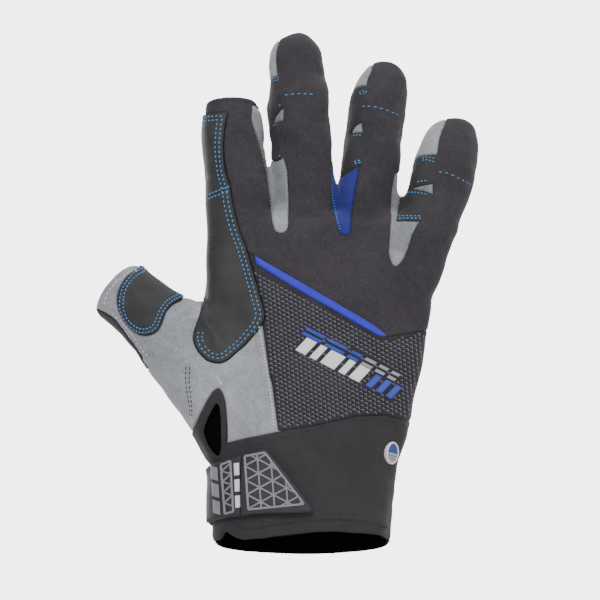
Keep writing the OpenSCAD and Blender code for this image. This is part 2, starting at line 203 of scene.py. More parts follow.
def relax(values, faces, rounds):
    """Moves each point's values halfway to its neighbours' mean, several times."""
    edges = unique_edges(faces)[0]
    count = np.zeros(len(values))
    np.add.at(count, edges[:, 0], 1)
    np.add.at(count, edges[:, 1], 1)
    count = np.maximum(count, 1)[:, None]
    values = values.copy()
    for _ in range(rounds):
        values += (neighbour_sum(values, edges) / count - values) * 0.5
    return values


def kd_tree(pts):
    tree = KDTree(len(pts))
    for i, p in enumerate(pts):
        tree.insert(Vector(p), i)
    tree.balance()
    return tree


def nearest_distance(pts, targets):
    tree = kd_tree(targets)
    return np.array([tree.find(Vector(p))[2] for p in pts])


def ray_tree(pts, faces):
    return BVHTree.FromPolygons([tuple(p) for p in pts], [tuple(face) for face in faces])


# ---------------------------------------------------------------- the body of the glove
FINGERS = ("index", "middle", "ring", "little")
RING_POINTS = 48
SKIN_VOXEL = 1.12
# Stations of each tube: u, v, half width, y of the centre, half depth[, squareness from here on]
TUBES = {
    "middle": """
-3.27,231.93,1.38,8,1.6,2.1 -3.13,231.52,3.45,8,4 -2.99,230.64,5.87,7.8,6.4
-2.99,228.67,8.46,7.7,8.5 -3.22,226.55,10.21,7.4,9.7 -3.31,223.1,11.38,6.8,10.4
-3.31,218.5,11.73,5.8,10.8 -2.85,212.06,12.3,4.2,11.3 -2.39,207.46,13.11,3.2,11.9
-1.7,202.86,13.8,2.4,12.5 -1.01,197.34,13.92,1.6,13 -0.32,190.9,14.26,1,13.4
0,183.54,14.63,.6,13.7 0.18,175.26,14.4,.3,14 0.23,166.98,14.54,0,14.4
0.51,161.46,14.95,0,14.5 0.97,155.94,15.27,0,14.6 1.52,138.46,14.26,0,13.5""",
    "ring": """
38.5,218.59,1.38,13,1.6,2.1 38.46,218.13,3.45,13,4 38.41,216.94,6.33,12.6,6.6
38.27,215,8.51,12.1,8.2 38.04,212.06,10.58,11,9.4 37.4,207.46,11.96,9.4,10.2
36.48,202.86,12.42,8,10.8 35.79,198.26,12.65,6.6,11.3 35.1,193.66,12.88,5.4,11.8
34.41,189.06,13.11,4.4,12.2 33.72,183.54,13.11,3.2,12.6 32.8,177.1,13.57,2,13
32.11,170.66,13.48,1.2,13.4 31.42,163.76,13.34,.5,13.8 30.68,159.62,13.94,.2,13.9
29.76,155.02,14.49,0,14 28.2,138.46,13.34,0,13""",
    "little": """
69.83,192.97,0.69,13,1.2,2.1 69.83,192.46,3.22,13,3.6 69.97,191.59,5.98,12.8,6
70.06,190.26,8.28,12.4,7.6 70.06,188.6,10.35,11.6,9 69.6,184.46,12.19,10,10.2
68.68,179.86,13.34,8.2,11 67.53,175.26,14.03,6.6,11.6 66.38,170.66,14.61,5.2,12.1
65,166.06,14.84,4,12.4 63.39,161,14.95,3,12.8 61.09,155.02,14.95,1.8,13
58.1,147.66,14.95,.8,13 53.5,137.54,14.26,0,12.6 49.36,128.34,12.88,0,12""",
    "index": """
-32.75,209.3,10.81,2,10.2,2.1 -32.75,202.4,11.5,1.6,10.6 -32.71,199.64,11.85,1.4,10.9
-32.52,196.88,12.3,1.2,11.2 -32.29,193.66,13.11,1,11.9 -32.06,189.06,13.57,.7,12.5
-31.83,184.46,13.92,.4,13 -31.46,179.86,14.12,.2,13.4 -30.96,175.26,14.21,0,13.8
-30.41,169.74,14.4,0,14.2 -29.07,163.3,15.41,0,14.6 -28.84,156.86,15.41,0,14.6
-27.92,138.46,14.72,0,13.6""",
    "hand": """
-0.09,-6.9,40.02,0,26.6,2.1 -0.09,0,40.25,0,26.6,2.1 0.14,9.66,40.94,0,26.5,2.1
0.37,18.86,41.63,0,26.2,2.12 1.06,28.06,42.32,0,25.8,2.14 1.75,37.26,43.47,0,25.2,2.16
1.89,46.46,46.83,0,24.2,2.2 1.52,55.66,49.22,0,23,2.24 1.33,64.86,50.42,0,21.8,2.28
2.44,74.06,51.52,0,20.8,2.32 3.82,83.26,51.98,0,20,2.36 5.2,92.46,51.98,0,19.3,2.4
6.58,101.66,51.98,0,18.7,2.44 7.73,110.86,52.21,0,18.2,2.5 10.26,120.06,53.82,0,17.8,2.55
11.87,128.34,54.97,0,17.3,2.6 13.71,138.46,56.81,0,16.8,2.66 14.63,142.6,57.96,0,16,2.7
14.95,144.44,58.19,0,14.4,2.7 14.63,148.12,56.58,0,11.5,2.6 14.63,150.19,52.44,0,6,2.4
14.63,151.11,43.7,0,2,2.2""",
    "thumb": """
-93.52,122.73,14.72,4.2,12.2,2.1 -85.33,114.54,15.07,4,12.5 -80.27,110.95,14.58,3.6,12.8
-74.29,106.67,14.35,3,13.4 -65.64,99.36,15.53,2.4,14.8 -57.36,90.16,17.94,2,16.6
-49.08,79.58,18.63,2,18.4 -40.8,67.16,16.79,1.5,20 -34.36,55.66,16.45,1,20
-28.84,43.24,16.1,.5,17.4 -26.54,38.18,16.56,.5,17""",
    "web": """
-63.34,103.04,4.6,2,6,2.1 -59.2,103.27,6.9,2,8.5 -53.22,103.27,7.13,2,9.5
-46.32,102.58,7.59,1.5,10.5 -38.96,101.2,7.82,1,11 -31.6,98.9,5.52,1,8""",
}
# Directions of the tubes that don't follow their own centre line
FIXED_AXES = {"hand": [0.0, 0.0, 1.0], "web": [1.0, 0.0, 0.0]}
AXES = {}  # centres, directions and half widths of each tube's stations


def stations(text):
    """(centre, half width, half depth, squareness) of each station."""
    rows, squareness = [], 2.1
    for entry in text.split():
        u, v, half_width, y, half_depth, *rest = [float(x) for x in entry.split(",")]
        if rest:
            squareness = rest[0]
        centre, scale = at_depth(u, v, y)
        rows.append((centre, half_width * scale, half_depth, squareness))
    return rows


def loft(name):
    rows = stations(TUBES[name])
    centres = np.array([row[0] for row in rows])
    if name in FIXED_AXES:
        along = np.tile(FIXED_AXES[name], (len(rows), 1))
    else:
        along = -unit(np.gradient(centres, axis=0))
    side = unit(np.cross([0.0, 1.0, 0.0], along))
    deep = np.cross(along, side)
    AXES[name] = (centres, along, np.array([row[1] for row in rows]))
    angles = np.linspace(0, 2 * math.pi, RING_POINTS, endpoint=False)
    cos, sin = np.cos(angles), np.sin(angles)
    rings, faces = [], []
    for i, (centre, half_width, half_depth, squareness) in enumerate(rows):
        x = np.sign(cos) * np.abs(cos) ** (2 / squareness) * half_width
        y = np.sign(sin) * np.abs(sin) ** (2 / squareness) * half_depth
        rings.append(centre + x[:, None] * side[i] + y[:, None] * deep[i])
    last = (len(rows) - 1) * RING_POINTS
    for i in range(0, last, RING_POINTS):
        for j in range(RING_POINTS):
            k = (j + 1) % RING_POINTS
            faces.append((i + j, i + k, i + RING_POINTS + k, i + RING_POINTS + j))
    faces.append(tuple(range(RING_POINTS))[::-1])
    faces.append(tuple(last + j for j in range(RING_POINTS)))
    return np.concatenate(rings), faces


def wound_outward(pts, faces):
    arms = pts - pts.mean(0)
    volume = sum(np.dot(arms[face[0]], np.cross(arms[face[k]], arms[face[k + 1]]))
                 for face in faces for k in range(1, len(face) - 1))
    return pts, ([face[::-1] for face in faces] if volume < 0 else faces)


def base_skin():
    """All tubes merged into one skin; its points and triangles."""
    ob = mesh_object("glove_body", *join(wound_outward(*loft(name)) for name in TUBES))
    remesh(ob, SKIN_VOXEL)
    pts, faces = get_mesh(ob)
    bpy.data.objects.remove(ob)
    return pts, faces


# ---------------------------------------------------------------- cutting the skin
def turned(triangles, first):
    """Triangles rotated so that corner number first comes first."""
    return np.take_along_axis(triangles, (first[:, None] + np.arange(3)) % 3, 1)


def split(pts, faces, labels, field, snap=0.14):
    """Cuts the triangles along field = 0. Returns points, faces, labels and the mask of
    faces where the field is positive. Values smaller than snap count as 0."""
    field = np.where(np.abs(field) < snap, 0.0, field)
    signs = np.sign(field[faces]).astype(int)
    mixed = (signs.max(1) > 0) & (signs.min(1) < 0)
    cut, cut_labels, signs = faces[mixed], labels[mixed], signs[mixed]
    edges = face_sides(cut)
    crossed = field[edges[:, 0]] * field[edges[:, 1]] < 0
    count = len(pts)
    keys = edges[:, 0].astype(np.int64) * count + edges[:, 1]
    keys, first = np.unique(keys[crossed], return_index=True)
    ends = edges[crossed][first]
    start, stop = field[ends[:, 0]], field[ends[:, 1]]
    share = (start / (start - stop))[:, None]
    new_pts = np.concatenate([pts, pts[ends[:, 0]] * (1 - share) + pts[ends[:, 1]] * share])
    new_field = np.concatenate([field, np.zeros(len(ends))])

    def middle(i, j):
        low, high = np.minimum(i, j), np.maximum(i, j)
        return count + np.searchsorted(keys, low.astype(np.int64) * count + high)

    # one corner on the line: two triangles
    touches = (signs == 0).any(1)
    two = turned(cut[touches], np.argmax(signs[touches] == 0, 1))
    mid = middle(two[:, 1], two[:, 2])
    # otherwise the lone corner on one side is cut off: three triangles
    signs = signs[~touches]
    three = turned(cut[~touches], np.argmax(signs * -np.sign(signs.sum(1))[:, None] > 0, 1))
    mid1, mid2 = middle(three[:, 0], three[:, 1]), middle(three[:, 0], three[:, 2])
    new_faces = np.concatenate([
        faces[~mixed],
        np.stack([two[:, 0], two[:, 1], mid], 1),
        np.stack([two[:, 0], mid, two[:, 2]], 1),
        np.stack([three[:, 0], mid1, mid2], 1),
        np.stack([mid1, three[:, 1], three[:, 2]], 1),
        np.stack([mid1, three[:, 2], mid2], 1)])
    new_labels = np.concatenate([labels[~mixed]] + [cut_labels[touches]] * 2
                                + [cut_labels[~touches]] * 3)
    return new_pts, new_faces, new_labels, new_field[new_faces].sum(1) > 0


def line_distance(uv, starts, ends):
    """Distance to the nearest of several drawn segments."""
    best = np.full(len(uv), 1e9)
    for a, b in zip(starts, ends):
        edge = b - a
        arm = uv - a
        t = np.clip((arm @ edge) / max(edge @ edge, 1e-9), 0, 1)
        gap = arm - t[:, None] * edge
        best = np.minimum(best, (gap * gap).sum(1))
    return np.sqrt(best)


def outline_distance(uv, outline):
    """Signed distance to a closed outline, positive inside."""
    following = np.roll(outline, -1, axis=0)
    inside = np.zeros(len(uv), bool)
    for a, b in zip(outline, following):
        spans = (a[1] > uv[:, 1]) != (b[1] > uv[:, 1])
        with np.errstate(divide="ignore", invalid="ignore"):
            crossing = a[0] + (uv[:, 1] - a[1]) / (b[1] - a[1]) * (b - a)[0]
        inside ^= spans & (uv[:, 0] < crossing)
    return line_distance(uv, outline, following) * np.where(inside, 1, -1)


def rounded(outline, rounds):
    """Corner-cut smoothing of a closed outline."""
    for _ in range(rounds):
        after = np.roll(outline, -1, axis=0)
        outline = np.stack([outline * 0.75 + after * 0.25,
                            outline * 0.25 + after * 0.75], 1).reshape(-1, 2)
    return outline


# ---------------------------------------------------------------- places on the digits
def joint_plane(name, digit):
    """Where a joint lies, and the direction along the digit there."""
    place = np.array(JOINTS[name]["pos_m"]) * 1000
    hinge = np.array(JOINTS[name]["axis"])
    centres, along, _ = AXES[digit]
    i = np.argmin(np.linalg.norm(centres - place, axis=1))
    outward = np.array([-1.0 if digit == "thumb" else 0.0, 0.0, 1.0])
    way = along[i] if along[i] @ outward > 0 else -along[i]
    way = way - hinge * (way @ hinge)
    return place, way / np.linalg.norm(way)


def axis_point(digit, v):
    """Point and direction of a digit's axis at height v on the drawing."""
    centres, along, _ = AXES[digit]
    heights = to_drawing(centres)[:, 1]
    order = np.argsort(heights)
    point, way = [np.array([np.interp(v, heights[order], rows[order, k]) for k in range(3)])
                  for rows in (centres, along)]
    return point, way / np.linalg.norm(way)


def by_height(digit, z, values):
    heights = AXES[digit][0][:, 2]
    order = np.argsort(heights)
    return np.interp(z, heights[order], values[order])


def lateral(digit, pts):
    """Positive within the digit's own width, negative beside it."""
    centres, _, half_widths = AXES[digit]
    middle = by_height(digit, pts[:, 2], centres[:, 0])
    half = by_height(digit, pts[:, 2], np.maximum(half_widths, 9.5))
    return half + 2.2 - np.abs(pts[:, 0] - middle)


def mid_depth(pts):
    """y of the middle of the digit or hand at each point."""
    depth = np.zeros(len(pts))
    for digit in FINGERS:
        centre = by_height(digit, pts[:, 2], AXES[digit][0][:, 1])
        depth = np.where((lateral(digit, pts) > -1.5) & (pts[:, 2] > 150), centre, depth)
    centres = AXES["thumb"][0]
    order = np.argsort(-centres[:, 0])
    thumb = np.interp(-pts[:, 0], -centres[order, 0], centres[order, 1])
    return np.where(pts[:, 0] < -48, thumb, depth)


def back_side(pts, margin):
    """Positive on the back of the hand and up to margin past the middle."""
    return mid_depth(pts) + margin - pts[:, 1]


def band(digit, pts, low_v, high_v):
    """Positive between two cuts across a digit, given by their heights on the drawing."""
    low, low_way = axis_point(digit, low_v)
    high, high_way = axis_point(digit, high_v)
    field = np.minimum((pts - low) @ low_way, (high - pts) @ high_way)
    return np.where((lateral(digit, pts) > 0) & (pts[:, 2] > 148), field, -6.0)


# ---------------------------------------------------------------- panel outlines
# Closed outlines as drawn points u,v. A _BACK or _PALM outline holds on that side only.
KNIT = table("""
-22.4,203.78 -22.95,193.89 -19.78,185.38 -16.97,174.34 -15.04,165.14 -14.12,156.58
-13.66,147.66 -12.74,143.52 -9.98,141.68 -7.22,142.6 -6.44,145.36 -6.53,154.56 -6.76,162.38
-7.22,170.66 -8.88,176.27 -11.36,181.7 -12.28,188.14 -11.82,190.9 -8.88,193.89 -8.88,198.81
-11.13,205.16 -11.59,214.82 -12.19,222.64 -11.82,226.78 -10.9,229.54 -9.52,235.98
13.48,235.98 13.48,193.66 15.32,179.86 14.4,175.26 13.94,168.36 13.94,161.46 15.04,148.81
17.53,141.77 20.38,140.3 22.45,142.14 22.68,151.8 24.52,162.38 26.36,172.5 27.28,179.86
27.74,188.6 27,192.14 27.97,200.56 29.12,207.46 29.85,212.52 31.88,216.89 32.8,223.1
52.58,223.1 52.12,193.66 48.44,179.86 45.68,172.5 42.87,167.9 41.54,159.16 41.08,149.96
40.39,138.46 40.02,132.48 41.54,127.42 43.56,126.04 47.06,130.18 49.36,136.62 50.74,141.22
54.14,147.43 57.18,152.26 60.12,160.08 60.12,164.22 61.32,172.96 61.87,176.64 62.93,184.74
64.08,188.6 65.64,192.28 66.84,199.18 89.38,200.56 89.38,161.46 77.88,129.26 68.68,100.74
58.1,97.06 38.32,93.84 34.64,97.52 32.8,98.67 -0.32,118.22 -21.48,130.64 -28.38,133.86
-34.36,148.58 -36.66,161.46 -38.96,169.28 -39.88,183.08 -37.12,193.2 -47.24,194.12
-47.24,204.7""")
GRIP = table("""
-27.92,134.78 -21.48,130.64 -0.32,118.22 32.8,98.67 34.64,97.52 38.32,93.84 58.1,97.06
70.98,101.66 68.68,53.82 57.18,53.82 44.76,56.12 38.78,57.96 24.98,57.5 7.04,53.36
-10.9,50.6 -12.28,60.26 -13.71,72.22 -14.95,76.36 -16.42,86.02 -17.71,95.22 -18.72,101.66
-20.33,107.18 -29.76,118.68""")
CUFF = table("""
-60.12,41.86 -43.1,39.56 -34.36,45.08 -25.62,47.38 -9.98,50.6 7.04,53.36 24.98,57.5
38.78,57.96 44.76,56.12 64.08,53.36 64.08,-45.54 -60.12,-45.54""")
VENT_OUTER = rounded(table("""
-38.23,71.3 -41.26,68.54 -44.76,62.56 -47.7,56.58 -50.46,50.6 -50.92,44.62 -48.16,38.64
-43.56,34.04 -39.88,34.5 -37.58,37.72 -35.93,40.94 -34.82,43.7 -34.45,48.3 -34.64,56.58
-35.47,65.78"""), 2)
VENT_INNER = rounded(table("""
-38.96,64.4 -42.18,58.88 -44.48,53.82 -45.4,49.22 -43.56,44.62 -40.8,40.48 -38.04,38.64
-37.12,42.78 -37.12,53.36 -37.81,61.64"""), 1)
INDEX_BACK = table("""
-55.52,195.96 -44.94,195.96 -34.09,197.34 -35.51,190.9 -36.2,183.08 -36.06,176.18
-35.28,170.2 -32.98,162.38 -32.06,155.94 -30.68,149.5 -28.38,141.68 -25.62,134.78
-23.32,126.5 -21.02,118.68 -18.72,110.4 -17.16,104.88 -17.57,100.74 -21.02,96.14
-26.08,90.39 -30.68,86.48 -34.36,83.03 -38.5,81.65 -43.56,83.03 -47.24,86.48 -49.27,90.16
-50,93.38 -49.45,96.6 -47.15,102.58 -45.68,108.56 -44.71,112.7 -55.52,117.76""")
INDEX_PALM = table("""
-55.52,195.96 -44.94,195.96 -29.76,196.88 -28.84,184.46 -29.76,170.66 -31.6,156.86
-35.28,144.9 -39.88,134.78 -44.02,128.34 -55.52,125.58""")
THUMB_BACK = table("""
-73.46,128.34 -75.3,124.94 -78.29,123.51 -80.64,121.44 -83.12,117.76 -84.73,113.85
-85.05,109.8 -84.5,106.49 -83.35,103.64 -81.74,100.74 -79.63,98.21 -77.14,96.14 -74.52,94.76
-71.44,94.53 -68.17,95.45 -65.64,97.52 -64.26,100.97 -63.34,104.42 -61.27,107.64
-58.83,109.48 -55.06,111.09 -53.22,114.54 -62.42,130.18""")
THUMB_PALM = table("""
-73.46,128.34 -76.68,122.82 -78.98,116.38 -77.6,110.86 -73.46,106.72 -68.4,105.8
-63.8,108.1 -59.2,110.86 -55.06,112.24 -52.3,116.38 -62.42,130.18""")
THUMB_PAD_BACK = table("""
-106.12,110.86 -93.24,106.08 -89.56,104.24 -86.07,101.66 -82.66,97.24 -78.89,92
-75.95,87.86 -73.46,84.18 -82.2,74.98 -115.32,97.06""")
THUMB_PAD_PALM = table("""
-106.12,115.46 -91.86,112.24 -86.34,108.1 -79.44,100.74 -73.92,93.38 -69.78,85.1
-69.32,80.5 -82.2,67.16 -115.32,97.06""")
BLUE_BACK = table("""
14.12,176.64 16.42,176.64 16.51,166.52 18.17,167.26 20.84,169.92 26.27,172.78 24.52,162.38
22.68,151.8 22.45,142.14 20.38,140.3 17.53,141.77 15.04,148.81 13.94,161.46 13.94,168.36""")
BLUE_PALM = table("""
13.02,175.26 20.84,175.26 20.38,163.76 18.54,155.48 16.24,151.8 14.4,156.86 13.48,166.06""")
PALM_UPPER = rounded(table("""
-39.88,154.1 -23.32,157.32 -0.32,156.86 17.16,154.1 32.8,151.34 47.52,146.74 61.32,140.3
59.48,128.34 51.2,122.82 36.48,125.58 20.84,128.34 7.04,126.5 -4,120.06 -13.2,109.02
-22.4,97.06 -29.76,89.7 -34.36,92.46 -35.28,100.74 -31.6,112.7 -34.36,128.34
-38.96,140.3"""), 2)
PALM_HEEL = rounded(table("""
9.8,110.86 25.44,113.62 42,110.86 52.12,103.5 53.04,89.7 48.44,74.06 43.84,63.02
30.04,60.72 13.48,59.34 1.52,61.18 -2.16,74.06 -0.32,90.62 2.44,102.58"""), 2)
THENAR = rounded(table("""
-48.16,85.1 -39.88,87.86 -29.76,82.34 -20.56,72.22 -15.04,61.18 -15.96,53.82 -26.08,51.06
-34.36,52.9 -40.8,63.02 -46.32,72.22 -50.92,78.66"""), 2)
# Areas on the back side that the finger overlays leave free
NOTCHES = [table(text) for text in (
    "-13.66,192 -12.19,195.27 -9.48,199.04 -7.68,199.04 -7.68,193.84 -11.5,193.02",
    """-9.48,175.9 -4,175.9 -4,156.86 -23.32,156.86 -23.32,177.56 -15.96,175.44
    -12.28,174.52""",
    "21.76,187.31 24.61,191.18 27.23,192.51 28.66,192.51 28.66,188.23 24.98,188.05",
    """28.66,172.96 31.88,172.96 31.88,156.86 13.48,156.86 13.48,166.7 18.08,167.16
    20.84,169.92""",
    "42,168.82 47.52,168.82 46.14,160.54 44.76,155.48 43.29,147.2 38.32,147.2 38.32,159.16",
    "49.63,162.1 54.88,163.48 61.32,164.68 61.32,160.08 59.66,159.99 55.61,161.37",
    "64.08,147.02 64.08,133.86 39.24,133.86 39.24,147.29")]
# Lower and upper end of each finger's overlay, as heights on the drawing
FINGER_BANDS = {"middle": (163.3, 211.37), "ring": (158.7, 204.01), "little": (135.7, 170.66)}
INDEX_RIM_V = 197.8
INDEX_END_V = 200.744
HEM_HEIGHT = 5.2
# Height of the hem's lower edge on the back: x, z
HEM_X = [-43, -39, -37.9, -36.2, -35.1, -34, -32.6, -29.8, -26.3, -17.8, -7.2, 9, 22.7, 32, 40]
HEM_Z = [-1.5, -2.1, -2.4, -0.3, 1.3, -0.3, -1.6, -3.6, -4.7, -4.7, -3.3, -1.7, -1.5, -0.9, -0.4]


def hem_line(pts):
    """Height of the hem: arched over the back, level round the palm side."""
    arch = np.interp(pts[:, 0], HEM_X, HEM_Z)
    return arch * smoothstep(-2, 7, -pts[:, 1]) - 1.1 * smoothstep(0, 8, pts[:, 1])


def finger_overlay_field(pts, uv):
    field = np.full(len(pts), -9.0)
    for digit, (low, high) in FINGER_BANDS.items():
        field = np.maximum(field, band(digit, pts, low, high))
    back = back_side(pts, 7)
    for notch in NOTCHES:
        field = np.minimum(field, -np.minimum(outline_distance(uv, notch), back))
    return field


def past_index(pts, v):
    """Positive on the index finger beyond a drawn height."""
    point, way = axis_point("index", v)
    return np.where(lateral("index", pts) > 0, (pts - point) @ way, -5.0)


def on_back(outline, margin):
    return lambda pts, uv: np.minimum(outline_distance(uv, outline), back_side(pts, margin))


def on_palm(outline, margin):
    return lambda pts, uv: np.minimum(outline_distance(uv, outline), -back_side(pts, margin))


def either(first, second):
    return lambda pts, uv: np.maximum(first(pts, uv), second(pts, uv))


# Distances from an outline that get an extra ring of edges
SEAM_RINGS = (-1.3, -0.5, 0.5, 1.3)
OVERLAY_RINGS = (-0.7, 0.35, 0.9)
RIM_RINGS = (-0.7, 0.6)
# Label, field that is positive on the panel, rings; later ones are painted over earlier ones
FIELDS = [
    ("finger_overlay", finger_overlay_field, SEAM_RINGS),
    ("knit", lambda pts, uv: np.minimum(outline_distance(uv, KNIT), back_side(pts, 4.5) * 0.9),
     SEAM_RINGS),
    ("blue", either(on_back(BLUE_BACK, 5), on_palm(BLUE_PALM, 1)), SEAM_RINGS),
    ("grip", on_back(GRIP, 9), SEAM_RINGS),
    ("thumb_pad", either(on_back(THUMB_PAD_BACK, 7), on_palm(THUMB_PAD_PALM, -3)),
     OVERLAY_RINGS),
    ("thumb_overlay", either(on_back(THUMB_BACK, 6), on_palm(THUMB_PALM, -3)), OVERLAY_RINGS),
    ("palm_overlay", on_palm(PALM_UPPER, 4), OVERLAY_RINGS),
    ("heel_overlay", on_palm(PALM_HEEL, 4), OVERLAY_RINGS),
    ("thenar_overlay", on_palm(THENAR, 4), OVERLAY_RINGS),
    ("index_overlay", either(on_back(INDEX_BACK, 7), on_palm(INDEX_PALM, -2)), OVERLAY_RINGS),
    ("cuff", lambda pts, uv: outline_distance(uv, CUFF), SEAM_RINGS),
    ("vent_binding", on_back(VENT_OUTER, 12), (-0.8, 0.4, 1.0)),
    ("vent_inner", on_back(VENT_INNER, 12), (-1.0, -0.4, 0.5)),
    ("hem", lambda pts, uv: HEM_HEIGHT - (pts[:, 2] - hem_line(pts)), RIM_RINGS),
    ("index_rim", lambda pts, uv: past_index(pts, INDEX_RIM_V), RIM_RINGS),
]
# Label: edge profile, material, slot
OVERLAY = ("overlay", "overlay_black", "reinforcement")
PANEL_KINDS = {
    "suede": ("panel", "suede_grey", "suede"),
    "knit": ("panel", "knit_black", "stretch_knit"),
    "grip": ("panel", "grip_black", "grip_fabric"),
    "cuff": ("panel", "neoprene_black", "neoprene"),
    "vent_binding": ("binding", "neoprene_black", "neoprene"),
    "vent_inner": ("sunk", "lining_black", "neoprene"),
    "index_overlay": OVERLAY,
    "thumb_overlay": OVERLAY,
    "thumb_pad": ("panel", "overlay_black", "reinforcement"),
    "blue": ("panel", "stretch_blue", "blue_stretch"),
    "palm_overlay": OVERLAY,
    "heel_overlay": OVERLAY,
    "thenar_overlay": OVERLAY,
    "finger_overlay": ("panel", "finger_black", "reinforcement"),
    "hem": ("panel", "neoprene_black", "neoprene"),
    "index_rim": ("panel", "knit_black", "stretch_knit"),
}
LABEL = {name: i for i, name in enumerate(PANEL_KINDS)}

# ---------------------------------------------------------------- folds and cloth
# Waves of unevenness: wavelength, height
WAVES = ((34.0, 0.35), (17.0, 0.22), (9.0, 0.10))
# Folds pressed into the back: depth, width, drawn path
FOLDS = (
    (1.7, 1.7, """-50.46,105.52 -55.52,103.04 -60.58,99.64 -64.26,96.6 -67.02,92.6
     -69.32,87.86 -69.55,84.64"""),
    (0.5, 1.2, "-53.41,80.5 -53.68,72.68 -51.66,56.81"),
    (0.5, 1.2, "-37.58,81.42 -37.81,70.38"),
    (0.8, 3.0, "-44.48,110.86 -44.94,102.58 -47.24,94.76"),
    (0.5, 3.0, "4.28,43.7 13.48,32.66 17.16,18.86"),
    (0.45, 3.0, "23.6,53.82 30.96,40.94 32.8,23.46"),
    (0.5, 3.5, "38.32,55.66 36.48,32.66 38.32,9.66"),
    (0.4, 3.0, "-7.22,46.46 -0.32,32.66 7.96,9.66"),
    (0.9, 3.5, "16.24,158.7 18.08,149.96 19.92,138.46"),
    (0.9, 3.5, "44.76,155.02 45.22,142.14 43.84,128.34"),
    (0.8, 3.5, "-14.12,167.9 -12.28,154.56 -9.98,140.3"),
    (0.35, 1.6, "-14.12,195.96 -0.32,197.34 12.56,196.42"),
    (0.35, 1.6, "22.68,189.98 36.48,190.44 47.52,188.14"),
    (0.35, 1.6, "50.28,161.46 64.08,161.46 78.8,157.78"),
    (0.35, 1.6, "-44.02,167.9 -30.22,169.74 -15.96,168.82"),
    (0.3, 1.6, "-14.12,193.2 -0.32,194.12 12.56,193.2"),
    (0.3, 1.6, "22.68,186.76 36.48,187.22 47.52,184.92"),
)
# x, z of places where two fingers nearly touch
FINGER_GAPS = table("""
-15.04,188.14 -15.04,183.54 -14.81,178.94 -14.58,174.34 -14.12,169.74 45.68,169.74
46.6,165.14 47.52,160.54""")
FOLD_GAIN = 0.8
FOLD_LIMIT = 0.9
CLOTH_VOXEL = 4.2
CLOTH_FRAMES = 20


def sculpt(pts, faces):
    """Puckers, folds and the slight unevenness of worn fabric."""
    uv = to_drawing(pts)
    height = np.zeros(len(pts))
    rng = np.random.RandomState(7)
    for wavelength, swing in WAVES:
        for _ in range(5):
            way = rng.normal(size=3)
            way /= np.linalg.norm(way)
            phase = rng.uniform(0, 6.28)
            height += swing / 2.2 * np.sin(pts @ way * 2 * math.pi / wavelength + phase)
    back = smoothstep(-2, 4, back_side(pts, 0))
    for depth, width, path in FOLDS:
        path = table(path)
        gap = line_distance(uv, path[:-1], path[1:])
        height += -depth * np.exp(-(gap / width) ** 2) * back
    return pts + normals(pts, faces) * height[:, None]


def simulate(ob):
    """Points of an object after it has been inflated as cloth."""
    cloth = ob.modifiers.new("cloth", "CLOTH")
    settings = cloth.settings
    settings.quality = 7
    settings.mass = 0.12
    settings.use_pressure = True
    settings.uniform_pressure_force = 4.0
    settings.tension_stiffness = 12.0
    settings.compression_stiffness = 12.0
    settings.shear_stiffness = 5.0
    settings.bending_stiffness = 0.35
    settings.shrink_min = -0.035
    settings.effector_weights.gravity = 0.0
    cloth.collision_settings.use_collision = False
    cloth.collision_settings.use_self_collision = False
    scene = bpy.context.scene
    for number in range(1, CLOTH_FRAMES + 1):
        scene.frame_set(number)
    graph = bpy.context.evaluated_depsgraph_get()
    mesh = ob.evaluated_get(graph).to_mesh()
    pts = np.zeros(len(mesh.vertices) * 3)
    mesh.vertices.foreach_get("co", pts)
    ob.evaluated_get(graph).to_mesh_clear()
    ob.modifiers.clear()
    scene.frame_set(1)
    return pts.reshape(-1, 3) * 1000


def billow(pts, faces):
    """Inflates a coarse copy of the glove as cloth; heights of the short folds it takes."""
    ob = mesh_object("billow", pts - normals(pts, faces) * 0.5, faces)
    remesh(ob, CLOTH_VOXEL)
    coarse, coarse_faces = get_mesh(ob)
    coarse = relax(coarse, coarse_faces, 3)
    ob.data.vertices.foreach_set("co", (coarse * MM).ravel())
    ob.data.update()
    moved = simulate(ob)
    bpy.data.objects.remove(ob)
    rise = np.nan_to_num(((moved - coarse) * normals(coarse, coarse_faces)).sum(1))[:, None]
    rise = (relax(rise, coarse_faces, 1) - relax(rise, coarse_faces, 14))[:, 0]
    rise = np.clip(rise * FOLD_GAIN, -FOLD_LIMIT, FOLD_LIMIT)
    tree = kd_tree(coarse)
    height = np.zeros(len(pts))
    for i, p in enumerate(pts):
        total = 0.0
        weighted = 0.0
        for _, j, gap in tree.find_n(Vector(p), 6):
            weight = math.exp(-(gap / 2.6) ** 2)
            total += weight
            weighted += weight * rise[j]
        height[i] = weighted / max(total, 1e-9)
    for digit in FINGERS:  # fades out at the fingertips
        top = AXES[digit][0][:, 2].max()
        height = np.where((lateral(digit, pts) > 0) & (pts[:, 2] > 150),
                          height * smoothstep(0, 16, top - pts[:, 2]), height)
    return height


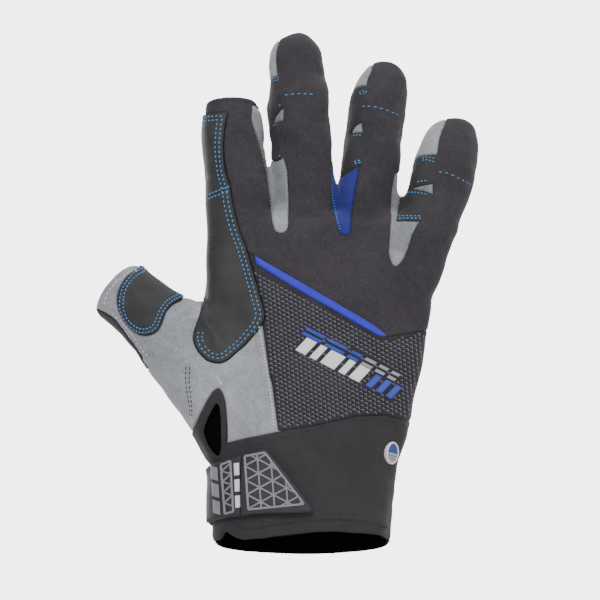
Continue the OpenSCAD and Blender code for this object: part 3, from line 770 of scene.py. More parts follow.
# ---------------------------------------------------------------- carving
def carve():
    """The glove's skin with open ends, cut into labelled panels."""
    pts, faces = base_skin()
    pts = relax(pts, faces, 8)
    # no extra fullness where two fingers nearly touch
    near = np.full(len(pts), 99.0)
    for x, z in FINGER_GAPS:
        near = np.minimum(near, np.hypot(pts[:, 0] - x, pts[:, 2] - z))
    fullness = (billow(pts, faces) * smoothstep(1, 6, near) + 0.55 * smoothstep(3, 9, near)
                - 0.35 * (1 - smoothstep(2, 6, near)))
    pts = pts + normals(pts, faces) * fullness[:, None]
    pts = sculpt(pts, faces)
    labels = np.zeros(len(faces), int)
    thumb_way = np.array([-0.73, 0.0, 0.68])
    thumb_way = thumb_way / np.linalg.norm(thumb_way)
    thumb_end = at_depth(-84.36, 115.83, 4.0)[0] - thumb_way

    def past_thumb(pts):
        deep = pts[:, 1] - thumb_end[1]
        slope = np.where(pts[:, 1] < thumb_end[1], 0.31, 0.06)
        return np.where(pts[:, 0] < -60, (pts - thumb_end) @ thumb_way + slope * deep, -5.0)

    for beyond in (lambda pts: -(pts[:, 2] - hem_line(pts)),
                   lambda pts: past_index(pts, INDEX_END_V), past_thumb):
        pts, faces, labels, gone = split(pts, faces, labels, beyond(pts))
        faces, labels = faces[~gone], labels[~gone]
    used, faces = compact(faces)
    pts = pts[used]
    for name, field, rings in FIELDS:
        for ring in rings:
            pts, faces, labels, _ = split(pts, faces, labels, field(pts, to_drawing(pts)) - ring)
        pts, faces, labels, inside = split(pts, faces, labels, field(pts, to_drawing(pts)))
        labels = np.where(inside, LABEL[name], labels)
    return pts, faces, labels


# ---------------------------------------------------------------- zones across the joints
# A stretch of a digit between two cuts (point, direction), across a joint between two bodies
Zone = namedtuple("Zone", "name digit low high bodies start end")


def bend_zones():
    found = []
    for digit in FINGERS:
        base, prox, mid, tip = [digit + part for part in ("_base", "_prox", "_mid", "_tip")]
        knuckle, way0 = joint_plane(digit + "_knuckle", digit)
        joint1, way1 = joint_plane(digit + "_mid_joint", digit)
        length0 = (joint1 - knuckle) @ way0
        cut1 = (knuckle + way0 * length0 * 0.52, way0)
        found.append(Zone(base, digit, (knuckle, way0), cut1, ("hand", prox),
                          knuckle, knuckle + way0 * length0 * 0.5))
        if digit == "index":
            found.append(Zone(mid, digit, cut1, None, (prox, mid),
                              joint1 - way1 * length0 * 0.42, joint1 + way1 * 8))
            continue
        joint2, way2 = joint_plane(digit + "_end_joint", digit)
        length1 = (joint2 - joint1) @ way1
        cut2 = (joint1 + way1 * length1 * 0.52, way1)
        found.append(Zone(mid, digit, cut1, cut2, (prox, mid),
                          joint1 - way1 * length0 * 0.44, joint1 + way1 * length1 * 0.48))
        found.append(Zone(tip, digit, cut2, None, (mid, tip),
                          joint2 - way2 * length1 * 0.42, joint2 + way2 * 8))
    joint, way = joint_plane("thumb_flex", "thumb")
    found.append(Zone("thumb_end", "thumb", (joint - way * 5, way), None, ("hand", "thumb"),
                      joint - way * 4.5, joint + way * 11))
    return found


def zone_field(zone, pts):
    """Positive inside a zone."""
    field = (pts - zone.low[0]) @ zone.low[1]
    if zone.high is not None:
        field = np.minimum(field, (zone.high[0] - pts) @ zone.high[1])
    if zone.digit == "thumb":
        near = (pts[:, 0] < -45) & (pts[:, 2] < 136)
    else:
        near = (lateral(zone.digit, pts) > 0) & (pts[:, 2] > 150)
    return np.where(near, field, -6.0)


def bend(ob, bodies, start, end):
    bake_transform(ob)


def attach(ob, zone):
    """Hands a piece to the hand, or, in a zone, only bakes its transform where it lies."""
    if zone is None:
        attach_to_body(ob, "hand")
    else:
        bend(ob, zone.bodies, zone.start, zone.end)


# ---------------------------------------------------------------- panels
# Distance from a panel's outline, height above the skin there
PROFILES = {
    "panel": ([0, 0.5, 1.3, 3.0], [-0.62, -0.14, 0.0, 0.0]),
    "overlay": ([0, 0.35, 0.9, 2.0, 3.0], [0.28, 0.66, 0.84, 0.8, 0.78]),
    "binding": ([0, 0.4, 1.0, 2.0], [0.1, 0.6, 0.95, 1.0]),
    "sunk": ([0, 0.5, 1.5, 4.0], [-0.8, -1.6, -2.6, -3.2]),
}
# Panels that meet without a groove
FLUSH = [("cuff", "hem", "vent_binding"), ("knit", "finger_overlay", "index_rim")]
# Part of a panel in one zone. Its points cover the whole panel group; inset is their distance
# to the outline, and shading their normals on the raised panel.
Panel = namedtuple("Panel", "label zone pts norms faces inset shading")


def raised_panel(pts, norms, faces, kind):
    """Raises or sinks a panel along its own outline."""
    used, faces = compact(faces)
    pts, norms = pts[used], norms[used]
    edges, side_edge = unique_edges(faces)
    rim = np.unique(edges[np.bincount(side_edge) == 1])
    inset = nearest_distance(pts, pts[rim])
    return used, pts + norms * np.interp(inset, *PROFILES[kind])[:, None], norms, faces, inset


def soften_outline(pts, faces, labels):
    """Slides the points on panel borders along them, so that no outline is jagged."""
    edges, side_edge = unique_edges(faces)
    side_labels = np.concatenate([labels] * 3)
    low = np.full(len(edges), 10 ** 6)
    high = np.full(len(edges), -1)
    np.minimum.at(low, side_edge, side_labels)
    np.maximum.at(high, side_edge, side_labels)
    border = edges[(low != high) | (np.bincount(side_edge) == 1)]
    free = np.bincount(border.ravel(), minlength=len(pts)) == 2
    pts = pts.copy()
    for _ in range(4):
        total = neighbour_sum(pts, border)
        pts[free] = pts[free] * 0.5 + total[free] / 2 * 0.5
    return pts


def build_panels(pts, faces, labels):
    zones = bend_zones()
    in_zone = np.zeros(len(faces), int)
    for i, zone in enumerate(zones):
        code = labels * 100 + in_zone
        pts, faces, code, inside = split(pts, faces, code, zone_field(zone, pts), 0.1)
        labels, in_zone = code // 100, code % 100
        in_zone = np.where(inside, i + 1, in_zone)
    pts = soften_outline(pts, faces, labels)
    norms = unit(relax(normals(pts, faces), faces, 2))
    # heights are set per label over the whole glove, so that the cuts between zones stay flush
    panels = []
    for name, (kind, _, _) in PANEL_KINDS.items():
        own = labels == LABEL[name]
        if not own.any():
            continue
        group = next((names for names in FLUSH if name in names), (name,))
        member = np.isin(labels, [LABEL[other] for other in group])
        used, raised, panel_norms, local, inset = raised_panel(pts, norms, faces[member], kind)
        if name == "vent_binding":
            # the binding runs level into the panels it is flush with
            shared = (np.isin(used, np.unique(faces[own]))
                      & np.isin(used, np.unique(faces[member & ~own])))
            if shared.any():
                flat = pts[used]
                rise = smoothstep(0, 5, nearest_distance(flat, flat[shared]))
                raised = flat + (raised - flat) * rise[:, None]
        shading = normals(raised, local)
        for i in range(len(zones) + 1):
            here = (in_zone[member] == i) & own[member]
            if here.sum() >= 4:
                panels.append(Panel(name, i, raised, panel_norms, local[here], inset, shading))
    return pts, norms, faces, labels, in_zone, zones, panels


# ---------------------------------------------------------------- materials
class Nodes:
    """Short ways to add nodes to the node tree of a material or world."""

    def __init__(self, owner):
        owner.use_nodes = True
        self.tree = owner.node_tree

    def feed(self, node, inputs):
        """Links or sets the inputs of a node."""
        for key, value in inputs.items():
            if isinstance(value, bpy.types.NodeSocket):
                self.tree.links.new(value, node.inputs[key])
            else:
                node.inputs[key].default_value = value

    def add(self, kind, inputs=None, **settings):
        node = self.tree.nodes.new("ShaderNode" + kind)
        for key, value in settings.items():
            setattr(node, key, value)
        self.feed(node, inputs or {})
        return node

    def math(self, operation, a, b=0.0, c=None, clamp=False):
        inputs = {0: a, 1: b} if c is None else {0: a, 1: b, 2: c}
        return self.add("Math", inputs, operation=operation, use_clamp=clamp).outputs[0]

    def mix(self, factor, a, b, mode="MIX"):
        return self.add("Mix", {0: factor, 6: a, 7: b}, data_type="RGBA",
                        blend_type=mode).outputs[2]

    def noise(self, vector, scale, detail, **more):
        return self.add("TexNoise", {"Vector": vector, "Scale": scale, "Detail": detail,
                                     **more}).outputs["Fac"]

    def rest(self):
        """Place in millimetres on the unbent glove."""
        return self.add("Attribute", attribute_name="rest").outputs["Vector"]


def linear(rgb):
    """RGBA in linear light from 0-255 display values."""
    shares = [x / 255 for x in rgb]
    return (*[x / 12.92 if x <= 0.04045 else ((x + 0.055) / 1.055) ** 2.4 for x in shares], 1)


MATERIALS = {}


def new_material(name):
    MATERIALS[name] = bpy.data.materials.new(name)
    nodes = Nodes(MATERIALS[name])
    return nodes, nodes.tree.nodes["Principled BSDF"]


def fabric(name, dark, light, rib, weave, nap, sheen, rough=0.85, speck=0.0, bump=0.35,
           edge=(0.9, 0.55), blotch=0.5, twill=False, spec=0.3):
    """Cloth with its own weave, nap and colour unevenness, and painted shade that darkens it towards
    its sewn edges, in the seam valleys.
    rib is the weave's two pitches; edge is the width of the painted edge shade and its darkest share."""
    nodes, surface = new_material(name)
    math_, wave = nodes.math, 2 * math.pi
    rest = nodes.rest()
    x, y, z = nodes.add("SeparateXYZ", {0: rest}).outputs
    s = math_("ADD", math_("MULTIPLY", x, 0.8), math_("MULTIPLY", y, 0.6))
    if twill:
        a = math_("SINE", math_("MULTIPLY", math_("ADD", s, z), wave / rib[0]))
        b = math_("SINE", math_("MULTIPLY", math_("SUBTRACT", s, z), wave / (rib[1] * 2.2)))
        shares = (0.75, 0.25)
    else:
        wobble = math_("MULTIPLY", math_("SINE", math_("MULTIPLY", z, wave / rib[1])), 0.9)
        a = math_("SINE", math_("ADD", math_("MULTIPLY", s, wave / rib[0]), wobble))
        b = math_("SINE", math_("MULTIPLY", z, wave / rib[1]))
        shares = (0.6, 0.4)
    threads = math_("ADD", math_("MULTIPLY", a, shares[0]), math_("MULTIPLY", b, shares[1]))
    threads = math_("MULTIPLY_ADD", threads, 0.5, 0.5)
    fine = nodes.noise(rest, scale=1.35, detail=3.0, Roughness=0.6)
    medium = nodes.noise(rest, scale=0.33, detail=3.0, Roughness=0.55)
    broad = nodes.noise(rest, scale=0.045, detail=2.0)

    def swing(noise, amount):
        return math_("MULTIPLY", math_("SUBTRACT", noise, 0.5), amount)

    tone = math_("ADD", math_("MULTIPLY", threads, weave), swing(fine, 2.4 * nap))
    tone = math_("ADD", tone, swing(medium, 1.3 * nap))
    tone = math_("ADD", tone, swing(broad, 2.2 * blotch))
    tone = math_("ADD", tone, 0.5 - weave * 0.5, clamp=True)
    colour = nodes.mix(tone, linear(dark), linear(light))
    if speck:
        flecks = nodes.noise(rest, scale=2.1, detail=1.0)
        flecks = nodes.add("MapRange", {0: flecks, 1: 0.66, 2: 0.74, 3: 0.0, 4: speck})
        colour = nodes.mix(flecks.outputs[0], colour, linear((150, 152, 160)))
    # painted shade: the colour darkens towards the sewn edge, as the seam valleys lie in shade
    inset = nodes.add("Attribute", attribute_name="edge").outputs["Fac"]
    shade = nodes.add("MapRange", {0: inset, 1: 0.1, 2: edge[0], 3: edge[1], 4: 1.0}).outputs[0]
    grey = nodes.add("CombineColor", {0: shade, 1: shade, 2: shade}).outputs[0]
    colour = nodes.mix(1.0, colour, grey, "MULTIPLY")
    relief = math_("ADD", math_("MULTIPLY", threads, 0.6 * weave + 0.1),
                   math_("MULTIPLY", fine, 0.9 * nap))
    relief = math_("ADD", relief, math_("MULTIPLY", medium, 1.2 * nap))
    bumps = nodes.add("Bump", {"Strength": bump, "Distance": 0.00035, "Height": relief})
    nodes.feed(surface, {
        "Base Color": colour,
        "Normal": bumps.outputs[0],
        "Roughness": math_("MULTIPLY_ADD", fine, 0.12, rough - 0.06),
        "Sheen Weight": sheen,
        "Sheen Roughness": 0.45,
        "Sheen Tint": (1, 1, 1, 1),
        "Specular IOR Level": spec,
        "Coat Weight": 0.0,
        "Coat Roughness": 0.5,
    })


def plain(name, dark, light, rough, scale, bump, spec=0.4, sheen=0.0, thread=False):
    """Thread, print and moulded rubber: a slightly uneven colour and surface."""
    nodes, surface = new_material(name)
    rest = nodes.rest()
    broad = nodes.noise(rest, scale=scale, detail=3.0)
    fine = nodes.noise(rest, scale=scale * 6, detail=2.0)
    tone = nodes.math("ADD", nodes.math("MULTIPLY", broad, 0.7),
                      nodes.math("MULTIPLY", fine, 0.5), clamp=True)
    colour = nodes.mix(tone, linear(dark), linear(light))
    relief = fine
    if thread:
        twist = nodes.add("TexWave", {"Vector": rest, "Scale": 1.1, "Distortion": 0.6},
                          bands_direction="DIAGONAL").outputs["Fac"]
        relief = nodes.math("ADD", fine, twist)
    bumps = nodes.add("Bump", {"Strength": bump, "Distance": 0.0002, "Height": relief})
    nodes.feed(surface, {
        "Base Color": colour,
        "Normal": bumps.outputs[0],
        "Roughness": nodes.math("MULTIPLY_ADD", fine, 0.16, rough - 0.08),
        "Specular IOR Level": spec,
        "Sheen Weight": sheen,
    })


def make_materials():
    fabric("knit_black", (38, 35, 39), (66, 62, 68), rib=(0.95, 0.8), weave=0.35, nap=0.42,
           speck=0.15, sheen=0.1, edge=(0.7, 0.7))
    fabric("overlay_black", (38, 38, 40), (60, 59, 61), rough=0.62, sheen=0.08, rib=(0.9, 0.9),
           weave=0.35, nap=0.2, bump=0.22, edge=(1.1, 0.6), blotch=0.4, twill=True, spec=0.35)
    fabric("finger_black", (34, 32, 35), (62, 60, 64), rough=0.75, sheen=0.08, rib=(0.9, 0.9),
           weave=0.35, nap=0.3, bump=0.25, edge=(0.6, 0.75), blotch=0.4, twill=True)
    fabric("suede_grey", (122, 125, 131), (173, 176, 182), rough=0.92, sheen=0.35,
           rib=(0.7, 0.6), weave=0.1, nap=0.6, bump=0.5, edge=(0.7, 0.62), spec=0.2)
    fabric("neoprene_black", (38, 35, 38), (60, 56, 60), rib=(0.8, 0.65), weave=0.3, nap=0.32,
           sheen=0.12, edge=(0.7, 0.75), blotch=0.35, bump=0.3)
    fabric("binding_black", (34, 33, 36), (62, 60, 65), rib=(0.7, 1.1), weave=0.5, nap=0.25,
           sheen=0.15, edge=(0.5, 0.6), rough=0.75)
    fabric("grip_black", (30, 28, 32), (58, 56, 62), rib=(1.15, 0.9), weave=0.7, nap=0.3,
           sheen=0.1, edge=(0.7, 0.65), bump=0.5)
    fabric("stretch_blue", (28, 34, 104), (50, 60, 150), rib=(0.7, 0.55), weave=0.45, nap=0.3,
           sheen=0.2, edge=(1.2, 0.6), bump=0.3)
    fabric("lining_black", (4, 4, 4), (9, 9, 9), rib=(1.1, 0.9), weave=0.5, nap=0.3, sheen=0.0,
           spec=0.05, bump=0.3)
    fabric("webbing_black", (34, 33, 35), (60, 58, 62), rib=(1.6, 0.9), weave=0.8, nap=0.25,
           sheen=0.15, edge=(0.8, 0.6), twill=True, bump=0.7)
    fabric("fastener_black", (24, 24, 26), (52, 52, 56), rib=(1.4, 1.4), weave=0.5, nap=0.9,
           sheen=0.3, bump=0.9)
    plain("piping_blue", (34, 34, 176), (48, 50, 208), rough=0.55, scale=0.35, bump=0.08,
          sheen=0.1)
    for colour, dark, light, rough in (
            ("blue", (44, 122, 200), (92, 176, 240), 0.6),
            ("white", (190, 192, 196), (236, 238, 240), 0.7),
            ("grey", (120, 124, 130), (176, 180, 186), 0.75),
            ("charcoal", (50, 48, 52), (74, 72, 78), 0.75),
            ("black", (26, 26, 28), (52, 52, 56), 0.7)):
        plain("thread_" + colour, dark, light, rough=rough, scale=1.5, bump=0.4, thread=True)
    plain("tab_rubber", (40, 38, 42), (56, 54, 58), rough=0.58, scale=0.5, bump=0.12, spec=0.35)
    plain("tab_silver", (112, 112, 119), (146, 146, 153), rough=0.48, scale=0.5, bump=0.1)
    plain("grip_marks", (72, 73, 82), (124, 126, 138), rough=0.42, scale=0.5, bump=0.05,
          spec=0.6)
    for colour, dark, light in (("white", (214, 214, 216), (240, 240, 242)),
                                ("blue", (38, 56, 152), (56, 78, 186)),
                                ("grey", (128, 130, 138), (160, 162, 170))):
        plain("print_" + colour, dark, light, rough=0.5, scale=0.6, bump=0.06)
    for part, dark, light in (("rim", (214, 214, 210), (238, 238, 234)),
                              ("blue", (46, 62, 140), (66, 86, 176)),
                              ("cream", (150, 154, 146), (180, 184, 174))):
        plain("badge_" + part, dark, light, rough=0.35, scale=0.3, bump=0.04, spec=0.5)


# ---------------------------------------------------------------- pieces
# far enough from any sewn edge that no painted edge shade shows
FAR_FROM_EDGE = 9.0


def set_edge_shade_distance(ob, inset):
    """Distance to the sewn edge, by which the fabrics paint shade into their seam valleys."""
    attribute = ob.data.attributes.new("edge", "FLOAT", "POINT")
    attribute.data.foreach_set("value", np.asarray(inset, np.float32))


def keep_rest(ob, with_edge=True):
    """Stores each point's unbent place for the materials."""
    mesh = ob.data
    count = len(mesh.vertices)
    places = np.zeros(count * 3, np.float32)
    mesh.vertices.foreach_get("co", places)
    mesh.attributes.new("rest", "FLOAT_VECTOR", "POINT").data.foreach_set("vector", places * 1000)
    if with_edge:
        set_edge_shade_distance(ob, np.full(count, FAR_FROM_EDGE))


def steady(ob, shading):
    """Gives the outer face of a panel the shading normals of the whole panel, so that no cut
    between bends shows."""
    mesh = ob.data
    corners = np.zeros(len(mesh.loops), np.int32)
    mesh.loops.foreach_get("vertex_index", corners)
    start = np.zeros(len(mesh.polygons), np.int32)
    count = np.zeros(len(mesh.polygons), np.int32)
    mesh.polygons.foreach_get("loop_start", start)
    mesh.polygons.foreach_get("loop_total", count)
    outer = np.repeat(np.maximum.reduceat(corners, start) < len(shading), count)
    custom = np.zeros((len(corners), 3))
    custom[outer] = shading[corners[outer]]
    mesh.normals_split_custom_set(custom.tolist())


def piece(name, parts, material):
    ob = mesh_object(name, *join(parts))
    ob.data.materials.append(MATERIALS[material])
    keep_rest(ob)
    return ob


def slotted(name, parts, material, body=None):
    ob = piece(name, parts, material)
    if body:
        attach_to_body(ob, body)
    return ob


def web_shade(p):
    """1 on the webs between the fingers, which lie in the shade of the panels beside them."""
    near_middle = (smoothstep(150, 160, p[:, 2]) * (1 - smoothstep(204, 210, p[:, 2]))
                   * smoothstep(-30, -25, p[:, 0]) * (1 - smoothstep(4, 10, p[:, 0])))
    near_ring = (smoothstep(126, 136, p[:, 2]) * (1 - smoothstep(177, 183, p[:, 2]))
                 * smoothstep(30, 36, p[:, 0]))
    return np.maximum(near_middle, near_ring) * (1 - smoothstep(-6, 2, p[:, 1]))


make_materials()
skin_pts, skin_norms, skin_faces, skin_labels, skin_zones, ZONES, PANELS = build_panels(*carve())
ZONE_NAMES = ["hand"] + [zone.name for zone in ZONES]
ZONE_BENDS = [None] + ZONES
PIECES = {}  # objects by label and zone name


def panel_object(panel):
    _, material, slot = PANEL_KINDS[panel.label]
    zone_name = ZONE_NAMES[panel.zone]
    used, faces = compact(panel.faces)
    ob = mesh_object("%s_%s" % (panel.label, zone_name), panel.pts[used], faces)
    ob.data.materials.append(MATERIALS[material])
    # the distance to the outline sets the painted seam shade; on the webs it is held low, which
    # paints their shade
    inset = panel.inset[used]
    if panel.label == "suede":
        shade = web_shade(panel.pts[used])
        inset = np.minimum(inset, 3.0) * (1 - shade) + np.minimum(inset, 0.25) * shade
    set_edge_shade_distance(ob, inset)
    thicken(ob, 1.2, -1)
    steady(ob, panel.shading[used])
    keep_rest(ob, with_edge=False)
    attach(ob, ZONE_BENDS[panel.zone])
    PIECES[(panel.label, zone_name)] = ob


def linings():
    """The black lining that closes every seam from inside."""
    dip = np.zeros(len(skin_pts))
    vent = np.unique(skin_faces[skin_labels == LABEL["vent_inner"]])
    inset = next(panel.inset for panel in PANELS if panel.label == "vent_inner")
    dip[vent] = np.interp(inset, [0, 1.0, 2.5], [0.0, 1.6, 3.1])
    for i, zone_name in enumerate(ZONE_NAMES):
        used, faces = compact(skin_faces[skin_zones == i])
        inner = skin_pts[used] - skin_norms[used] * (1.75 + dip[used, None])
        ob = mesh_object("lining_" + zone_name, inner, faces)
        thicken(ob, 0.7, 1)
        ob.data.materials.append(MATERIALS["lining_black"])
        keep_rest(ob)
        attach(ob, ZONE_BENDS[i])
        PIECES[("lining", zone_name)] = ob


for panel in PANELS:
    panel_object(panel)
linings()

# ---------------------------------------------------------------- drawing on the finished skin
CUFF_LABELS = ("cuff", "hem", "suede", "vent_binding", "vent_inner", "grip")
OUTER_PTS, OUTER_FACES = join((panel.pts, panel.faces) for panel in PANELS)
SKIN_TREE = ray_tree(OUTER_PTS, OUTER_FACES)
CUFF_TREE = ray_tree(*join((panel.pts, panel.faces) for panel in PANELS
                           if panel.label in CUFF_LABELS))
OUTER_FACES = np.array(OUTER_FACES)
OUTER_NORMS = normals(OUTER_PTS, OUTER_FACES)


def smooth_normal(face, point):
    corners = OUTER_FACES[face]
    weight = 1.0 / (np.linalg.norm(OUTER_PTS[corners] - point, axis=1) + 0.05)
    norm = (OUTER_NORMS[corners] * weight[:, None]).sum(0)
    return norm / np.linalg.norm(norm)


def cast(uv, tree=None):
    """Carries drawn points onto the skin, or onto a tree. Returns points, normals and
    whether each one hit."""
    rays = unit(on_plane(uv) - EYE)
    pts, norms, hits = np.zeros((len(rays), 3)), np.zeros((len(rays), 3)), np.zeros(len(rays), bool)
    for i, ray in enumerate(rays):
        origin = Vector(EYE + ray * (EYE_DIST - 400))
        place, norm, face, _ = (tree or SKIN_TREE).ray_cast(origin, Vector(ray), 900)
        if place is not None:
            pts[i], hits[i] = place, True
            norms[i] = smooth_normal(face, pts[i]) if tree is None else norm
            if norms[i] @ ray > 0:
                norms[i] = -norms[i]
    return pts, norms, hits


def run_length(path):
    return np.concatenate([[0], np.cumsum(np.linalg.norm(np.diff(path, axis=0), axis=1))])


def sample(path, run, at):
    """Rows of a path at given lengths along it."""
    return np.stack([np.interp(at, run, path[:, k]) for k in range(path.shape[1])], 1)


def resample(path, step):
    run = run_length(path)
    count = max(2, int(round(run[-1] / step)) + 1)
    return sample(path, run, np.linspace(0, run[-1], count))


def curved(path, rounds):
    """Corner-cut smoothing of an open line that keeps its ends."""
    for _ in range(rounds):
        cut = np.empty((2 * len(path) - 2, path.shape[1]))
        cut[0::2] = path[:-1] * 0.75 + path[1:] * 0.25
        cut[1::2] = path[:-1] * 0.25 + path[1:] * 0.75
        path = np.concatenate([path[:1], cut[1:-1], path[-1:]])
    return path


def capsule():
    """A unit stitch along x with z up: points and faces."""
    sides = 6
    rows = [(-0.85, 0.62, -0.12), (-0.45, 0.95, 0.16), (0.45, 0.95, 0.16), (0.85, 0.62, -0.12)]
    pts, faces = [(-1, 0, -0.35)], []
    for x, radius, lift in rows:
        for k in range(sides):
            angle = 2 * math.pi * k / sides
            pts.append((x, radius * math.cos(angle), radius * math.sin(angle) * 0.9 + lift))
    pts.append((1, 0, -0.35))
    for k in range(sides):
        j = (k + 1) % sides
        faces.append((0, 1 + j, 1 + k))
        for i in range(len(rows) - 1):
            a, b = 1 + i * sides, 1 + (i + 1) * sides
            faces.append((a + k, a + j, b + j, b + k))
        last = 1 + (len(rows) - 1) * sides
        faces.append((len(pts) - 1, last + k, last + j))
    return np.array(pts), faces


CAPSULE_PTS, CAPSULE_FACES = capsule()


def capsules(centres, along, up, half_length, radius):
    """Parts for a row of stitches or tufts."""
    across = np.cross(up, along)
    shape = CAPSULE_PTS[None]
    pts = (centres[:, None] + shape[..., 0:1] * along[:, None] * half_length
           + shape[..., 1:2] * across[:, None] * radius + shape[..., 2:3] * up[:, None] * radius)
    return [(one, CAPSULE_FACES) for one in pts]


# ---------------------------------------------------------------- stitching
# Thread: material, slot
THREADS = {"black": ("thread_black", "neoprene"), "blue": ("thread_blue", "blue_stretch"),
           "grey": ("thread_grey", "suede"), "grey2": ("thread_charcoal", "neoprene"),
           "white": ("thread_white", "suede")}
STITCHES = {}  # parts by thread and zone


def sew(path, norms, thread, pitch=2.3, length=1.5, radius=0.34, lift=0.05, turn=0.0,
        closed=False):
    """A row of stitches along a line on the skin; turn leans each off the line, in degrees."""
    if len(path) < 3:
        return
    run = run_length(path)
    if run[-1] < pitch:
        return
    at = np.arange(pitch * 0.5, run[-1] - (0 if closed else length * 0.4), pitch)
    centres, up = sample(path, run, at), sample(norms, run, at)
    along = sample(path, run, at + 0.4) - sample(path, run, at - 0.4)
    good = np.linalg.norm(along, axis=1) > 0.2
    if not good.any():
        return
    centres, along, up = centres[good], unit(along[good]), up[good]
    if turn:
        up = unit(up)
        angle = math.radians(turn)
        along = along * math.cos(angle) + np.cross(up, along) * math.sin(angle)
    centres = centres + up * lift
    up = unit(up)
    along = along - up * (along * up).sum(1, keepdims=True)
    along /= np.maximum(np.linalg.norm(along, axis=1, keepdims=True), 1e-9)
    in_zone = np.zeros(len(centres), int)
    for i, zone in enumerate(ZONES):
        # the zone is looked up where the stitch lies
        in_zone = np.where(zone_field(zone, centres) > 0, i + 1, in_zone)
    for i, part in zip(in_zone, capsules(centres, along, up, length / 2, radius)):
        STITCHES.setdefault((thread, int(i)), []).append(part)


def sew_drawn(thread, paths, step=0.5, **stitch):
    """Stitches along drawn paths, which a slash separates."""
    for path in paths.split("/"):
        pts, norms, hits = cast(resample(curved(table(path), 2), step))
        sew(pts[hits], norms[hits], thread, **stitch)


def level_lines(pts, norms, faces, inset, level):
    """Lines on a panel at a set distance from its outline: points, normals, closed or not."""
    over = inset - level
    over = np.where(np.abs(over) < 1e-4, 1e-4, over)
    corner = over[faces]
    cross_pts, cross_norms, seen_edges, near = [], [], {}, {}
    for a, b, c in faces[(corner.max(1) > 0) & (corner.min(1) < 0)]:
        ends = []
        for i, j in ((a, b), (b, c), (c, a)):
            if over[i] * over[j] < 0:
                low, high = key = (min(i, j), max(i, j))
                if key not in seen_edges:
                    t = over[low] / (over[low] - over[high])
                    seen_edges[key] = len(cross_pts)
                    cross_pts.append(pts[low] * (1 - t) + pts[high] * t)
                    cross_norms.append(norms[low] * (1 - t) + norms[high] * t)
                ends.append(seen_edges[key])
        if len(ends) == 2:
            near.setdefault(ends[0], []).append(ends[1])
            near.setdefault(ends[1], []).append(ends[0])
    cross_pts, cross_norms = np.array(cross_pts), np.array(cross_norms)
    seen, lines = set(), []
    for start in sorted(near, key=lambda i: len(near[i])):
        if start in seen:
            continue
        line = [start]
        seen.add(start)
        while True:
            onward = [j for j in near[line[-1]] if j not in seen]
            if not onward:
                break
            line.append(onward[0])
            seen.add(onward[0])
        if len(line) <= 5:
            continue
        closed = line[0] in near[line[-1]] and len(line) > 8
        both = [cross_pts[line], cross_norms[line]]
        for k, rows in enumerate(both):
            for _ in range(10):
                if closed:
                    rows = rows * 0.5 + (np.roll(rows, 1, 0) + np.roll(rows, -1, 0)) * 0.25
                else:
                    rows[1:-1] = rows[1:-1] * 0.5 + (rows[:-2] + rows[2:]) * 0.25
            both[k] = np.concatenate([rows, rows[:1]]) if closed else rows
        lines.append((*both, closed))
    return lines


def sew_inside(label, thread, levels, keep=None, **stitch):
    """Rows of stitches that follow a panel's outline just inside it, where keep allows."""
    parts = [panel for panel in PANELS if panel.label == label]
    first = parts[0]
    faces = np.concatenate([panel.faces for panel in parts])
    for level in levels:
        for path, norms, closed in level_lines(first.pts, first.norms, faces, first.inset, level):
            if keep is None:
                sew(path, norms, thread, closed=closed, **stitch)
                continue
            kept = np.flatnonzero(keep(path))
            for run in np.split(kept, np.flatnonzero(np.diff(kept) > 1) + 1):
                if len(run) > 6:
                    sew(path[run], norms[run], thread, **stitch)


def outside_index_side(pts):
    """False on the outer side of the index overlay's lower half."""
    u, v = to_drawing(pts).T
    return ~((u < -42.182) & (v > 96.6) & (v < 125.58))


sew_inside("index_overlay", "blue", (1.75, 3.75), keep=outside_index_side, pitch=2.3,
           length=1.2, radius=0.33)
sew_inside("thumb_overlay", "blue", (1.15, 2.85), pitch=1.75, length=1.05, radius=0.32)
sew_drawn("blue", """-43.1,157.32 -40.34,158.47 -36.66,159.85 -32.98,161.46
/ -42.87,159.39 -40.11,160.54 -36.66,161.92 -33.44,163.21""", pitch=2.2, length=1.4, radius=0.33)
for overlay in ("palm_overlay", "heel_overlay", "thenar_overlay"):
    sew_inside(overlay, "blue", (1.4, 3.3), pitch=2.3, length=1.45, radius=0.32)
# across the fingers
sew_drawn("blue", """-8.6,205.02 -2.9,205.85 2.44,205.8 7.5,205.16
/ 27,199.87 32.34,200.1 38.32,198.49 45.22,195.64
/ 62.24,169.97 67.53,169.28 73.28,166.29 79.12,163.3""",
          pitch=3.0, length=1.7, radius=0.26, lift=-0.08)
# short rows beside the fingers
sew_drawn("blue", """-14.12,212.24 -12.28,212.98 -10.44,213.26
/ -13.89,211.14 -12.28,211.88 -10.44,212.15 / -10.81,200.47 -8.83,200.28
/ -13.48,190.99 -11.73,191.64 / -10.9,177.1 -8.6,177.19
/ 25.81,206.08 27.97,207.28 30.04,206.36 / 26.17,205.16 27.74,206.17 30.04,205.44
/ 23.32,186.48 25.44,186.85 28.01,186.67 / 23.6,174.06 25.25,175.12 27,174.98
/ 23.87,173.24 25.44,174.06 27.19,174.16 / 54.88,176 57.64,176.73 61.78,175.9
/ 54.88,174.89 57.64,175.54 61.5,174.06 / 52.58,165.14 55.34,165.6 59.02,165.97
/ 48.44,160.36 52.95,160.49 58.1,159.34 / 44.11,149.5 49.36,149.68 54.88,149.5
/ 44.11,148.4 49.36,148.58 54.88,148.4""", pitch=1.9, length=1.15, radius=0.3, lift=0.0)
